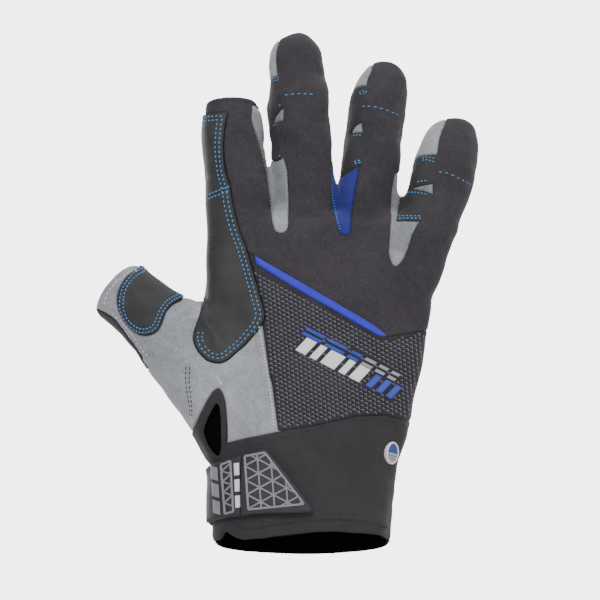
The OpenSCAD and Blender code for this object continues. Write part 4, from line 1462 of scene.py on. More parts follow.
# the toothed edges of the grey tongue between index and middle finger
sew_drawn("grey", """-16.65,173.88 -15.5,165.14 -14.35,155.02 -13.43,147.2 -12.51,143.52
-11.36,142.14 -9.52,141.68 -7.68,142.42 -6.39,144.9 -6.58,154.56 -6.95,163.3 -7.41,171.58
-9.25,176.87""", pitch=1.25, length=1.5, radius=0.24, turn=58, lift=-0.05)
for thread, path in (
        ("grey", "-23.14,193.66 -21.02,186.3 -18.72,178.94 -16.88,171.58 -15.23,163.3 -13.94,153.18"),
        ("blue", "14.21,176.18 13.57,167.9 13.94,160.54 15.32,150.42 17.43,143.06")):
    sew_drawn(thread, path, pitch=1.35, length=1.3, radius=0.2, turn=50, lift=-0.12)
# light stitches of the suede
sew_drawn("white", """-19.92,98.9 -19.27,95.22 -17.85,88.23 -16.65,80.82 -15.69,75.72
-14.95,70.79 -14.35,66.24 -13.43,59.89 -12.93,52.72""",
          pitch=1.75, length=1.35, radius=0.37, turn=28, lift=0.1)
sew_drawn("grey", "-21.94,97.06 -20.38,88.78 -17.99,76.82 -16.7,67.16 -15.5,53.82",
          pitch=2.0, length=1.35, radius=0.26)
sew_drawn("white", """-75.53,124.43 -78.98,123.46 -82.66,121.44 -86.07,118.59 -88.87,115.23
-90.67,111.09 -91.22,107.18""", pitch=2.35, length=1.5, radius=0.3)
sew_drawn("white", "-87.72,105.06 -84.04,101.94 -80.36,97.7 -77.14,93.2 -73.46,87.86 -71.16,85.1",
          pitch=2.3, length=1.4, radius=0.28)
sew_drawn("white", "-50.46,107.87 -48.44,107.27 -46.32,106.26",
          pitch=2.0, length=1.4, radius=0.28)
sew_drawn("grey", "-59.2,106.26 -56.44,107 -53.22,107.82", pitch=2.1, length=1.3, radius=0.26)
sew_drawn("black", """-53.41,80.5 -53.68,72.68 -51.75,63.02 -51.38,56.81
/ -51.66,80.5 -52.03,72.68 -50.65,63.02 -50.65,57.04""", pitch=2.2, length=1.5, radius=0.26)
sew_drawn("grey", "-37.49,81.42 -37.58,78.66 -37.77,75.44",
          pitch=1.6, length=1.2, radius=0.24, turn=30)
sew_drawn("white", "-39.51,75.9 -38.5,74.34 -37.4,72.5 -36.85,71.21", step=0.3,
          pitch=0.95, length=1.7, radius=0.24, turn=72)
sew_drawn("white", "-38.78,76.08 -37.67,74.06 -36.94,71.94", step=0.3,
          pitch=1.3, length=1.3, radius=0.2, turn=-30)
# hem, cuff seam and the run on from the piping
sew_drawn("black", """-33.9,9.84 -29.76,6.72 -26.08,5.52 -17.8,6.26 -7.22,8.28 8.88,9.84
22.68,9.66 31.88,8.37 39.7,5.98""", pitch=2.2, length=1.5, radius=0.3, lift=0.12)
sew_drawn("grey2", """-26.08,6.72 -17.8,7.45 -7.22,9.48 8.88,11.04 22.68,10.86 31.88,9.66
39.7,7.36""", pitch=2.2, length=1.2, radius=0.22, lift=0.0)
sew_drawn("black", """-29.76,42.78 -17.8,45.31 -4.92,48.76 8.88,51.98 22.68,55.43
36.48,56.12 44.76,54.28 49.36,51.06""", pitch=2.4, length=1.6, radius=0.24, lift=0.0)
sew_drawn("black", "39.24,92.28 45.68,93.2 52.12,94.48 57.64,95.86",
          pitch=2.1, length=1.4, radius=0.26)
# the palm side's hem and cuff seam, the vent and the index rim
sew_inside("hem", "black", (1.2,), keep=lambda p: p[:, 1] > 4,
           pitch=2.3, length=1.5, radius=0.28)
sew_inside("cuff", "black", (1.6,), keep=lambda p: (p[:, 1] > 4) & (p[:, 2] > 30),
           pitch=2.4, length=1.6, radius=0.26)
sew_inside("vent_binding", "black", (1.5,), pitch=2.0, length=1.3, radius=0.2)
sew_inside("index_rim", "black", (2.0,), pitch=2.2, length=1.4, radius=0.22)

for thread, i in sorted(STITCHES):
    material, slot = THREADS[thread]
    ob = piece("stitches_%s_%s" % (thread, ZONE_NAMES[i]), STITCHES[(thread, i)], material)
    attach(ob, ZONE_BENDS[i])


# ---------------------------------------------------------------- films and bars
def sheet(pts, norms, rise, sink):
    """A closed film from a grid of points: its top raised by rise, its bottom by sink."""
    rows, cols = pts.shape[:2]
    top = pts + norms * np.asarray(rise)[..., None]
    bottom = pts + norms * sink
    under = rows * cols  # number of the bottom's first point
    faces = []
    for i in range(rows - 1):
        for j in range(cols - 1):
            k = i * cols + j
            faces.append((k, k + cols, k + cols + 1, k + 1))
            faces.append((under + k, under + k + 1, under + k + cols + 1, under + k + cols))

    def wall(k, step, backward):
        side = (k, k + step, under + k + step, under + k)
        faces.append(side[::-1] if backward else side)

    for i in range(rows - 1):
        wall(i * cols, cols, True)
        wall(i * cols + cols - 1, cols, False)
    for j in range(cols - 1):
        wall(j, 1, False)
        wall((rows - 1) * cols + j, 1, True)
    if np.dot(np.cross(top[1, 0] - top[0, 0], top[0, 1] - top[0, 0]), norms[0, 0]) <= 0:
        faces = [face[::-1] for face in faces]
    return np.concatenate([top.reshape(-1, 3), bottom.reshape(-1, 3)]), faces


def film(corners, height, step, bevel=0.25, tree=None):
    """A thin raised shape bounded by four drawn corners, or None where a ray misses."""
    a, b, c, d = [np.asarray(corner, float) for corner in corners]
    length1 = max(np.linalg.norm(b - a), np.linalg.norm(c - d))
    length2 = max(np.linalg.norm(d - a), np.linalg.norm(c - b))

    def ticks(length):
        edge = min(bevel / length, 0.2)
        count = max(2, int(length / step))
        inner = np.linspace(edge, 1 - edge, count + 1)[1:-1]
        return np.concatenate([[0, edge], inner, [1 - edge, 1]])

    s, t = ticks(length1), ticks(length2)
    s_col, t_row = s[:, None, None], t[None, :, None]
    grid = ((1 - s_col) * (1 - t_row) * a + s_col * (1 - t_row) * b
            + s_col * t_row * c + (1 - s_col) * t_row * d)
    pts, norms, hits = cast(grid.reshape(-1, 2), tree)
    if not hits.all():
        return None
    pts, norms = pts.reshape(len(s), len(t), 3), norms.reshape(len(s), len(t), 3)
    norms = unit(norms * 0.4 + unit(norms.mean((0, 1))) * 0.6)
    inset = np.minimum((np.minimum(s, 1 - s) * length1)[:, None],
                       (np.minimum(t, 1 - t) * length2)[None, :])
    return sheet(pts, norms, height * np.clip(0.35 + 0.65 * inset / bevel, 0, 1), -0.25)


def films(shapes, **build):
    """Films of several shapes, without those that don't land."""
    return [part for part in (film(shape, **build) for shape in shapes) if part]


def bars(segments, width, **build):
    """Raised bars along drawn segments."""
    shapes = []
    for a, b in segments:
        way = (b - a) / np.linalg.norm(b - a)
        side = np.array([-way[1], way[0]]) * width / 2
        shapes.append((a - side, b - side, b + side, a + side))
    return films(shapes, step=1.6, **build)


# ---------------------------------------------------------------- piping
PIPING_TOP = table("-21.67,131.28 -0.32,118.86 20.38,106.81 32.8,99.45 36.02,97.06 38.5,94.76")
PIPING_BOTTOM = table("""
-20.75,127.24 -9.98,120.34 -0.32,114.63 18.08,104.14 30.04,97.24 35.1,94.48 38.5,94.02""")


def piping():
    """The blue cord across the knuckles."""
    sides = [resample(curved(side, 1), 0.7) for side in (PIPING_TOP, PIPING_BOTTOM)]
    count = max(len(side) for side in sides)
    share = np.linspace(0, 1, count)
    upper, lower = [sample(side, np.linspace(0, 1, len(side)), share) for side in sides]
    across = np.array([0, 0.08, 0.2, 0.38, 0.5, 0.62, 0.8, 0.92, 1.0])
    grid = (lower[:, None] * (1 - across)[None, :, None]
            + upper[:, None] * across[None, :, None])
    pts, norms, _ = cast(grid.reshape(-1, 2))
    pts, norms = pts.reshape(count, len(across), 3), norms.reshape(count, len(across), 3)
    # a smooth bed under the piping
    for _ in range(6):
        pts[1:-1, 1:-1] = (pts[1:-1, 1:-1] * 2 + pts[:-2, 1:-1] + pts[2:, 1:-1]) / 4
    norms = unit(norms * 0.25 + norms.mean(1, keepdims=True))
    order = np.arange(count)
    ends = np.clip(np.minimum(order, order[::-1]) / 3.0, 0.12, 1) ** 0.5
    height = 0.18 + 1.05 * (4 * across * (1 - across)) ** 0.45
    width = np.linalg.norm(upper - lower, axis=1) / 3.6
    rise = 0.12 + (height[None, :] - 0.12) * (ends * np.clip(width, 0.25, 1))[:, None]
    ob = piece("knuckle_piping_cord", [sheet(pts, norms, rise, -0.9)], "piping_blue")
    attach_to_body(ob, "hand")
    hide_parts("knuckle_piping")


# ---------------------------------------------------------------- stripes and grip marks
STRIPE_ANGLE = math.radians(-27.0)
# Tall bars: colour, height, (start along the row, width) of each
TALL_ORIGIN = (-3.08, 87.86)
TALL_BARS = (
    ("print_white", 7.6, ((0.0, 5.2), (7.2, 3.4), (12.6, 7.4), (22.0, 3.4), (27.4, 5.4))),
    ("print_blue", 7.0, ((36.0, 3.2), (41.2, 3.2), (46.4, 3.2))))
# Thin bars, in two rows: start along the row, width, colour
THIN_ORIGIN = (-0.32, 95.22)
THIN_BARS = ((0.0, 9.6, "print_blue"), (11.6, 9.6, "print_blue"), (23.2, 5.4, "print_blue"),
             (30.4, 5.4, "print_grey"), (37.6, 4.6, "print_grey"), (44.0, 4.0, "print_grey"))
THIN_ROWS = ((0, 0), (0.75, 2.6))  # shift along and up


def stripe_shapes():
    """Colour and corners of each printed bar on the back."""
    cos, sin = math.cos(STRIPE_ANGLE), math.sin(STRIPE_ANGLE)

    def slanted(x, y, width, height, lean):
        return [(x + a * cos - b * sin, y + a * sin + b * cos)
                for a, b in ((0, 0), (width, 0), (width + lean, height), (lean, height))]

    shapes = []
    for colour, height, spans in TALL_BARS:
        for start, width in spans:
            x, y = TALL_ORIGIN[0] + start * cos, TALL_ORIGIN[1] + start * sin
            shapes.append((colour, slanted(x, y, width, height, 2.2)))
    for start, width, colour in THIN_BARS:
        x, y = THIN_ORIGIN[0] + start * cos, THIN_ORIGIN[1] + start * sin
        for a, b in THIN_ROWS:
            shapes.append((colour, slanted(x + a * cos - b * sin, y + a * sin + b * cos,
                                           width, 1.5, 0.5)))
    return shapes


MARK_ANGLE = math.radians(-29.0)
MARK_PITCH, MARK_ROW_PITCH = 2.3, 1.72
MARK_CENTRE = (22.68, 78.66)
PIPING_CLEARANCE = table("""
-23.32,133.86 -0.32,120.52 32.8,100.74 41.08,96.14 41.08,91.08 30.04,95.22 -0.32,112.7
-23.32,125.58""")


def mark_template():
    """A small arch of short links: points along, across and up, and faces."""
    xs = np.array([-0.82, -0.42, 0.0, 0.42, 0.82])
    ys = np.array([-0.42, 0.12, 0.34, 0.12, -0.42])
    half_widths = (0.14, 0.27, 0.32, 0.27, 0.14)
    along = unit(np.stack([np.gradient(xs), np.gradient(ys)], 1))
    pts, faces = [], []
    for i, half in enumerate(half_widths):
        for b, height in ((-1, -0.15), (-0.55, 0.26), (0.55, 0.26), (1, -0.15)):
            pts.append((xs[i] - along[i, 1] * b * half, ys[i] + along[i, 0] * b * half,
                        height if 0 < i < 4 else height * 0.45))
    for i in range(4):
        for j in range(3):
            k = i * 4 + j
            faces.append((k, k + 4, k + 5, k + 1))
    faces += [(0, 1, 2, 3), (19, 18, 17, 16)]
    for i in range(4):
        faces.append((i * 4 + 3, i * 4 + 7, i * 4 + 4, i * 4))
    return np.array(pts), faces


def grip_marks(stripes):
    """Raised marks in staggered rows over the grip panel."""
    cos, sin = math.cos(MARK_ANGLE), math.sin(MARK_ANGLE)
    along, up = np.array([cos, sin]), np.array([-sin, cos])
    uv = []
    for row, j in enumerate(np.arange(-60, 60, MARK_ROW_PITCH), 1):
        for i in np.arange(-90 + (row % 2) * MARK_PITCH / 2, 90, MARK_PITCH):
            uv.append(along * i + up * j)
    uv = np.array(uv) + MARK_CENTRE
    uv = uv[outline_distance(uv, GRIP) > 1.15]
    for _, corners in stripes:
        uv = uv[outline_distance(uv, np.array(corners)) <= -0.55]
    for outline, gap in ((PIPING_CLEARANCE, 0.2), (CUFF, 1.0), (INDEX_BACK, 0.8)):
        uv = uv[outline_distance(uv, outline) < -gap]
    pts, norms, hits = cast(uv)
    # none past the turn of the side
    rays = pts - EYE
    rays /= np.maximum(np.linalg.norm(rays, axis=1, keepdims=True), 1e-9)
    hits &= -(rays * norms).sum(1) > 0.16
    pts, norms = pts[hits], norms[hits]
    across = np.array([cos, 0, sin])
    across = unit(across - norms * (norms @ across)[:, None])
    upward = np.cross(norms, across)
    shape, faces = mark_template()
    rng = np.random.RandomState(3)
    parts = []
    for p, norm, x, y in zip(pts, norms, across, upward):
        size = 0.92 + 0.16 * rng.rand()
        parts.append((p + shape[:, 0:1] * x * size + shape[:, 1:2] * y * size
                      + shape[:, 2:3] * norm, faces))
    ob = piece("grip_marks", parts, "grip_marks")
    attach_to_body(ob, "hand")


def back_stripes(stripes):
    for colour in ("white", "blue", "grey"):
        shapes = [corners for print_name, corners in stripes if print_name == "print_" + colour]
        ob = piece("back_stripes_" + colour, films(shapes, height=0.32, step=0.9),
                   "print_" + colour)
        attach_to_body(ob, "hand")


piping()
STRIPES = stripe_shapes()
grip_marks(STRIPES)
back_stripes(STRIPES)

# ---------------------------------------------------------------- shape of the wrist
# Places on the wrist are an angle in degrees (0 at the thumb side, 90 at the back) and z.
WRIST_ANGLES = np.arange(-60, 116, 1.0)
WRIST_HEIGHTS = np.arange(2.0, 44.0, 1.0)


def wrist_radii():
    """Smoothed distance from the wrist's axis to the cuff, by angle and height."""
    radii = np.full((len(WRIST_ANGLES), len(WRIST_HEIGHTS)), np.nan)
    for i, degrees in enumerate(WRIST_ANGLES):
        angle = math.radians(degrees)
        way = Vector((-math.cos(angle), -math.sin(angle), 0))
        for j, z in enumerate(WRIST_HEIGHTS):
            hit = CUFF_TREE.ray_cast(Vector((0, 0, z)), way, 90)
            if hit[0] is not None:
                radii[i, j] = hit[3]
    # misses take the mean of their angle
    mean = np.nanmean(radii, axis=1)
    mean = np.where(np.isnan(mean), 40.0, mean)[:, None]
    radii = np.where(np.isnan(radii), mean, radii)
    smooth = radii.copy()
    for _ in range(30):
        pad = np.pad(smooth, 1, mode="edge")
        smooth = (pad[1:-1, 1:-1] * 2 + pad[:-2, 1:-1] + pad[2:, 1:-1]
                  + pad[1:-1, :-2] + pad[1:-1, 2:]) / 6
    return smooth + np.percentile(radii - smooth, 97)


WRIST_RADII = wrist_radii()


def at_wrist(degrees, z, lift):
    """Points above the smoothed wrist; degrees and z are arrays of the same shape."""
    row = np.clip((degrees - WRIST_ANGLES[0]), 0, len(WRIST_ANGLES) - 1.001)
    col = np.clip((z - WRIST_HEIGHTS[0]), 0, len(WRIST_HEIGHTS) - 1.001)
    i, j = row.astype(int), col.astype(int)
    s, t = row - i, col - j
    radius = (WRIST_RADII[i, j] * (1 - s) * (1 - t) + WRIST_RADII[i + 1, j] * s * (1 - t)
              + WRIST_RADII[i, j + 1] * (1 - s) * t + WRIST_RADII[i + 1, j + 1] * s * t) + lift
    angle = np.radians(degrees)
    return np.stack([-np.cos(angle) * radius, -np.sin(angle) * radius, z], -1)


def level_outward(pts):
    return unit(pts * np.array([1, 1, 0]))


def rim_ticks(length, rim, step):
    edge = np.array([0, 0.08, 0.25, 0.5, 0.8, 1.2]) * rim
    count = max(3, int((length - 2.4 * rim) / step) + 1)
    inner = np.linspace(1.2 * rim, length - 1.2 * rim, count)[1:-1]
    return np.concatenate([edge, inner, (length - edge)[::-1]]) / length


def limit(bound, at):
    """Value of a bound, which is a number or a function of one number."""
    return np.vectorize(bound)(at) if callable(bound) else bound + 0 * at


def wrap(ends, edges, lift, thick, rim=0.9, step=1.3):
    """A strap or plate round the wrist with a rounded rim. ends are angles, by the share of
    the height; edges are the lower and upper z, by angle."""
    length = abs(limit(ends[1], 0.5) - limit(ends[0], 0.5)) * 0.62
    height = abs(limit(edges[1], 0.5) - limit(edges[0], 0.5))
    s, t = np.meshgrid(rim_ticks(length, rim, step), rim_ticks(height, rim, step), indexing="ij")
    start, stop = limit(ends[0], t), limit(ends[1], t)
    degrees = start + (stop - start) * s
    low, high = limit(edges[0], degrees), limit(edges[1], degrees)
    inset = np.minimum(np.minimum(s, 1 - s) * length, np.minimum(t, 1 - t) * height)
    rounding = np.sqrt(1 - (1 - np.clip(inset / rim, 0, 1)) ** 2)
    base = at_wrist(degrees, low + (high - low) * t, lift)
    norms = unit(np.cross(np.gradient(base, axis=0), np.gradient(base, axis=1)))
    norms = norms * np.sign((norms * (base * np.array([1, 1, 0]))).sum(2).mean())
    return sheet(base, norms, thick * (0.3 + 0.7 * rounding), 0.0)


def tab_places(text):
    """Angle and height of points drawn on the raised tab."""
    places = []
    for target in table(text):
        uv = target.copy()
        for _ in range(3):
            pts, norms, hits = cast(uv, CUFF_TREE)
            if not hits[0]:
                break
            uv = uv + (target - to_drawing(pts[0] + norms[0] * 3.2)[0])
        pts, _, hits = cast(uv, CUFF_TREE)
        x, y, z = pts[0] if hits[0] else (0, -26, 20.0)
        places.append((math.degrees(math.atan2(-y, -x)), z))
    return np.array(places)


# ---------------------------------------------------------------- wrist strap
TOP_PLACES = tab_places("-36.2,37.54 -27.46,40.3 -16.19,42.5")
LOW_PLACES = tab_places("-36.2,11.13 -25.16,12.33 2.44,13.25")
END_PLACES = tab_places("-15.59,41.86 5.01,16.56")  # upper and lower corner of the tab's end
TAB_START = 39.2  # angle where the plate ends and the tab begins
STRAP_HINGE = np.array(JOINTS["strap_peel"]["pos_m"]) * 1000
TAB_HINGE = np.array(JOINTS["tab_peel"]["pos_m"]) * 1000
# Bodies, start and end of each bend
STRAP_BEND = (("hand", "strap"), (-46, STRAP_HINGE[1] + 2.0, 20), (-46, STRAP_HINGE[1] - 4.0, 20))
TAB_BEND = (("strap", "strap_tab"), (TAB_HINGE[0] - 2.5, -26, 20), (TAB_HINGE[0] + 3.5, -26, 20))


def strap_top(degrees):
    return float(np.interp(degrees, [-60, -20, 8] + list(TOP_PLACES[:, 0]),
                           [33.0, 34.5, TOP_PLACES[0, 1] - 0.3] + list(TOP_PLACES[:, 1])))


def strap_bottom(degrees):
    return float(np.interp(degrees, [-60, -20, 8] + list(LOW_PLACES[:, 0]),
                           [8.0, 8.6, LOW_PLACES[0, 1] + 0.5] + list(LOW_PLACES[:, 1])))


def strap_edges(inset):
    return lambda a: strap_bottom(a) + inset, lambda a: strap_top(a) - inset


def tab_end(share):
    """Angle of the tab's slanted end, with rounded corners, by the share of its height."""
    upper, lower = END_PLACES[:, 0]
    degrees = lower + (upper - lower) * np.clip((share - 0.05) / 0.93, 0, 1)
    if share < 0.1:
        degrees -= 5.0 * (1 - math.sqrt(max(0.0, 1 - ((0.1 - share) / 0.1) ** 2)))
    if share > 0.94:
        degrees -= 2.4 * (1 - math.sqrt(max(0.0, 1 - ((share - 0.94) / 0.06) ** 2)))
    return float(degrees)


def strap_part(name, stands_for, material, slot, holder, **shape):
    """One wrapped part, held by a body, or, across a bend, only baked in place where it lies; returns
    its points and faces.
    """
    part = wrap(**shape)
    ob = slotted(name, [part], material)
    if isinstance(holder, str):
        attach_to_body(ob, holder)
    else:
        bend(ob, *holder)
    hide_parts(stands_for)
    return part


# webbing from the anchor to under the tab
strap_part("strap_webbing", "strap_band", "webbing_black", "strap_web", STRAP_BEND,
           ends=(-47.0, 44.0), edges=(strap_bottom, strap_top), lift=0.15, thick=1.5, rim=0.7)
# stitched block that holds the webbing on the palm side
strap_part("strap_anchor_patch", "strap_anchor", "binding_black", "reinforcement", "hand",
           ends=(-56.0, -24.0), edges=(6.8, 34.4), lift=0.1, thick=2.5)
# moulded plate on the side, and the tab
KEEPER_TREE = ray_tree(*strap_part(
    "strap_keeper_plate", "strap_keeper", "tab_rubber", "tab_rubber", "strap",
    ends=(1.5, TAB_START - 0.35), edges=strap_edges(0.2), lift=1.5, thick=1.15, rim=1.0))
TAB_TREE = ray_tree(*strap_part(
    "pull_tab_moulding", "pull_tab", "tab_rubber", "tab_rubber", TAB_BEND,
    ends=(TAB_START, tab_end), edges=(strap_bottom, strap_top), lift=1.3, thick=1.75, rim=1.3))
# hook side under the tab and the loop field it lands on
strap_part("hook_fastener", "hook_patch", "fastener_black", "hook_loop", "strap_tab",
           ends=(53.0, lambda t: tab_end(t) - 5.0), edges=strap_edges(2.2), lift=0.72,
           thick=0.56, rim=0.4, step=1.6)
strap_part("loop_fastener", "loop_patch", "fastener_black", "hook_loop", "hand",
           ends=(49.0, lambda t: tab_end(t) - 4.0), edges=strap_edges(1.4), lift=-0.2,
           thick=0.75, rim=0.5, step=1.6)


def tufts(name, start, stop, lift, facing, body):
    """Short hooks or loops over a fastener patch; facing is 1 outward or -1 inward."""
    count = 900
    rng = np.random.RandomState(11)
    degrees = start + (stop - start) * rng.rand(count)
    heights = 11.0 + (31.0 - 11.0) * rng.rand(count)
    pts = at_wrist(degrees, heights, lift)
    norms = level_outward(pts)
    along = np.stack([rng.normal(size=count) for _ in range(3)], 1)
    along = unit(along - norms * (along * norms).sum(1, keepdims=True))
    parts = capsules(pts + norms * facing * 0.05, along, norms * facing, 0.45, 0.13)
    slotted(name, parts, "fastener_black", body)


tufts("loop_pile", 52.0, min(END_PLACES[:, 0]) - 6.0, 0.58, 1, "hand")
tufts("hook_pile", 56.0, min(END_PLACES[:, 0]) - 7.0, 0.70, -1, "strap_tab")

# ---------------------------------------------------------------- lattices of the moulding
TAB_FRAME = table("-26.36,38.92 -17.16,40.66 0.87,17.02 -24.7,14.44")
KEEPER_FRAME = table("-37.31,34.96 -32.98,36.8 -31.6,13.52 -35.47,12.51")
LATTICE_ORIGIN = np.array([-20.47, 37.72])
LATTICE_ACROSS = np.array([6.14, -0.09])
LATTICE_DOWN = np.array([0.5, -6.58])
# Zigzag on the plate: its right and left side, from top to bottom, and the bends per side
ZIGZAG_RIGHT = table("-32.8,35.88 -31.6,13.52")
ZIGZAG_LEFT = table("-37.21,34.5 -35.37,12.7")
ZIGZAG_COUNT = 4.5
# Plain bars: colour, object name, material, first corner, pitch, corners relative to it, step
KEEPER_BARS = (
    ("keeper_bars_white", "print_white", (-31.40956, 35.696), (0.26082, -7.452),
     ((0.23, -5.612), (2.622, -5.336), (2.438, 0.276), (0, 0)), dict(height=0.35, step=1.0)),
    ("keeper_bars_grey", "tab_silver", (-41.8741, 32.2), (0.5083, -7.82),
     ((0, -3.68), (3.312, -4.6), (2.944, 1.564), (-0.23, 2.576)), dict(height=0.3, step=0.8)),
)


def clip(a, b, outline):
    """The part of segment ab inside a convex outline, or None."""
    enter, leave = 0.0, 1.0
    centre = outline.mean(0)
    for p, q in zip(outline, np.roll(outline, -1, axis=0)):
        inward = np.array([-(q - p)[1], (q - p)[0]])
        if inward @ (centre - p) < 0:
            inward = -inward
        depth_a, depth_b = inward @ (a - p), inward @ (b - p)
        if depth_a < 0 and depth_b < 0:
            return None
        if depth_a < 0:
            enter = max(enter, depth_a / (depth_a - depth_b))
        elif depth_b < 0:
            leave = min(leave, depth_a / (depth_a - depth_b))
    if leave - enter < 0.04:
        return None
    return a + (b - a) * enter, a + (b - a) * leave


def frame_sides(outline):
    return list(zip(outline, np.roll(outline, -1, axis=0)))


def tab_lattice():
    across, down = LATTICE_ACROSS, LATTICE_DOWN
    segments = []
    for i in range(-5, 6):
        for j in range(-6, 7):
            start = LATTICE_ORIGIN + across * i + down * (j + (0.5 if i % 2 else 0.0))
            for arm in (down, across + down * 0.5, across - down * 0.5):
                inside = clip(start, start + arm, TAB_FRAME)
                if inside is not None and np.linalg.norm(inside[1] - inside[0]) > 0.9:
                    segments.append(inside)
    parts = bars(segments, 0.82, height=0.42, bevel=0.28, tree=TAB_TREE)
    parts += bars(frame_sides(TAB_FRAME), 1.0, height=0.5, bevel=0.3, tree=TAB_TREE)
    bend(slotted("tab_lattice", parts, "tab_silver"), *TAB_BEND)


def keeper_lattice():
    def along(side, k):
        return side[0] + (side[1] - side[0]) * (k / ZIGZAG_COUNT)

    segments = []
    for k in range(4):
        left = along(ZIGZAG_LEFT, k + 0.5)
        segments += [(along(ZIGZAG_RIGHT, k), left), (left, along(ZIGZAG_RIGHT, k + 1))]
    parts = bars(segments, 0.8, height=0.42, bevel=0.28, tree=KEEPER_TREE)
    parts += bars(frame_sides(KEEPER_FRAME), 0.95, height=0.48, bevel=0.3, tree=KEEPER_TREE)
    slotted("keeper_lattice", parts, "tab_silver", "strap")


def keeper_bars():
    """Plain white bars between the lattices and plain grey ones at the side."""
    for name, material, first, pitch, corners, build in KEEPER_BARS:
        shapes = [np.array(corners) + np.array(first) + np.array(pitch) * k for k in range(3)]
        parts = films(shapes, bevel=0.3, tree=KEEPER_TREE, **build)
        if parts:  # bars at the turn of the side may miss the plate
            slotted(name, parts, material, "strap")


def anchor_stitches():
    """A stitched rectangle with both diagonals on the anchor patch."""
    left, right, low, high = -53.5, -27, 9.5, 31.8
    angle_scale = np.array([0.7, 1])  # about a millimetre per unit in both columns
    parts = []
    for path in ([(left, low), (right, low), (right, high), (left, high), (left, low)],
                 [(left, low), (right, high)], [(left, high), (right, low)]):
        places = resample(np.array(path, float) * angle_scale, 0.5) / angle_scale
        pts = at_wrist(places[:, 0], places[:, 1], 2.62)
        norms = level_outward(pts)
        run = run_length(pts)
        at = np.arange(2.3 / 2, run[-1], 2.3)
        along = sample(pts, run, at + 0.4) - sample(pts, run, at - 0.4)
        along /= np.maximum(np.linalg.norm(along, axis=1, keepdims=True), 1e-9)
        parts += capsules(sample(pts, run, at), along, sample(norms, run, at), 1.5 / 2, 0.3)
    slotted("anchor_stitches", parts, "thread_black", "hand")


tab_lattice()
keeper_lattice()
keeper_bars()
anchor_stitches()

# ---------------------------------------------------------------- badge
BADGE_STRETCH = (0.9, 1.08)  # across and up, on the radius
BADGE_FACE_RADIUS = 4.12


def badge():
    """A small domed oval on the cuff's little-finger side."""
    pts, norms, _ = cast((41.08, 40.48))
    centre = pts[0]
    out = unit(norms[0] * 0.72 + np.array([0.84, -0.54, 0.05]) * 0.28)
    across = unit(np.cross([0, 0, 1.0], out))
    up = np.cross(out, across)
    wide, tall = BADGE_STRETCH

    def dome(radius):
        return 1.05 - 0.012 * radius * radius

    def rim(radius):
        return 0.7 + 0.6 * math.sqrt(max(0, 1 - ((radius - 4.45) / 0.42) ** 2))

    def disc(inner, outer, height, start, stop, steps, rings):
        radii = np.linspace(inner, outer, rings)
        angle, radius = np.meshgrid(np.linspace(start, stop, steps), radii, indexing="ij")
        base = (centre + (np.cos(angle) * radius * wide)[..., None] * across
                + (np.sin(angle) * radius * tall)[..., None] * up)
        rise = np.array([height(r) for r in radii])
        return sheet(base, np.broadcast_to(out, base.shape), rise, -1.2)

    for name, material, shape in (
            ("badge_rim", "badge_rim", (4.05, 4.85, rim, 0.0, 2 * math.pi, 48, 9)),
            ("badge_upper", "badge_blue", (0.0, BADGE_FACE_RADIUS, dome, 0.0, math.pi, 30, 8)),
            ("badge_lower", "badge_cream",
             (0.0, BADGE_FACE_RADIUS, dome, math.pi, 2 * math.pi, 30, 8))):
        ob = slotted(name, [disc(*shape)], material, "hand")
        if name == "badge_rim":
            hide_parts("badge")
    lines = []
    for drop in (1.25, 2.45):
        half = math.sqrt(3.7 ** 2 - drop * drop)
        line = np.stack([np.linspace(-half, half, 17), np.full(17, -drop)], 1)
        base = np.stack([centre + line[:, 0:1] * wide * across
                         + (line[:, 1:2] + shift) * up * tall
                         for shift in (-0.24, -0.12, 0.12, 0.24)], 1)
        radius = np.linalg.norm(line, axis=1)
        rise = dome(radius)[:, None] + np.array([0.0, 0.14, 0.14, 0.0])[None, :]
        lines.append(sheet(base, np.broadcast_to(out, base.shape), rise, 0.2))
    slotted("badge_lines", lines, "tab_silver", "hand")


badge()


# ---------------------------------------------------------------- parts of the design
def stand_ins():
    """Zone: label: names of the design's parts that the piece stands for."""
    zones = {
        "hand": {
            "knit": ["back_panel", "knuckle_back"],
            "grip": ["grip_panel"],
            "suede": ["side_panel", "palm_panel", "thumb_gusset", "knuckle_palm",
                      "web_index_middle", "web_ring_little"],
            "blue": ["web_middle_ring"],
            "index_overlay": ["index_base_overlay", "knuckle_overlay"],
            "palm_overlay": ["palm_overlay"],
            "cuff": ["cuff_back", "cuff_palm"],
            "hem": ["cuff_hem"],
            "vent_binding": ["vent_binding"],
        },
        "index_base": {"knit": ["index_back"], "suede": ["index_palm", "index_gusset"],
                       "index_overlay": ["index_overlay"]},
        "index_mid": {"knit": ["index_end_back"], "index_overlay": ["index_end_palm"]},
        "thumb_end": {"thumb_pad": ["thumb_back"], "suede": ["thumb_palm"],
                      "thumb_overlay": ["thumb_overlay"]},
    }
    for digit, suede_gusset, blue_gusset in (
            ("middle", "middle_gusset_radial", "middle_gusset_ulnar"),
            ("ring", "ring_gusset_ulnar", "ring_gusset_radial"),
            ("little", "little_gusset", None)):
        base = {"knit": [digit + "_back"], "suede": [digit + "_palm", suede_gusset],
                "finger_overlay": [digit + "_overlay"]}
        if blue_gusset:
            base["blue"] = [blue_gusset]
        zones[digit + "_base"] = base
        zones[digit + "_mid"] = {"knit": [digit + "_mid_back"],
                                 "finger_overlay": [digit + "_mid_palm"]}
        zones[digit + "_tip"] = {"knit": [digit + "_tip_back"], "suede": [digit + "_tip_palm"]}
    return zones


for zone_name, labels in stand_ins().items():
    for label, names in labels.items():
        # the piece is looked up, in a zone without this panel its next best one, and not used further
        choices = (label, "suede", "finger_overlay", "knit", "lining")
        ob = next(PIECES[(choice, zone_name)] for choice in choices
                  if (choice, zone_name) in PIECES)
        for name in names:
            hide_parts(name)

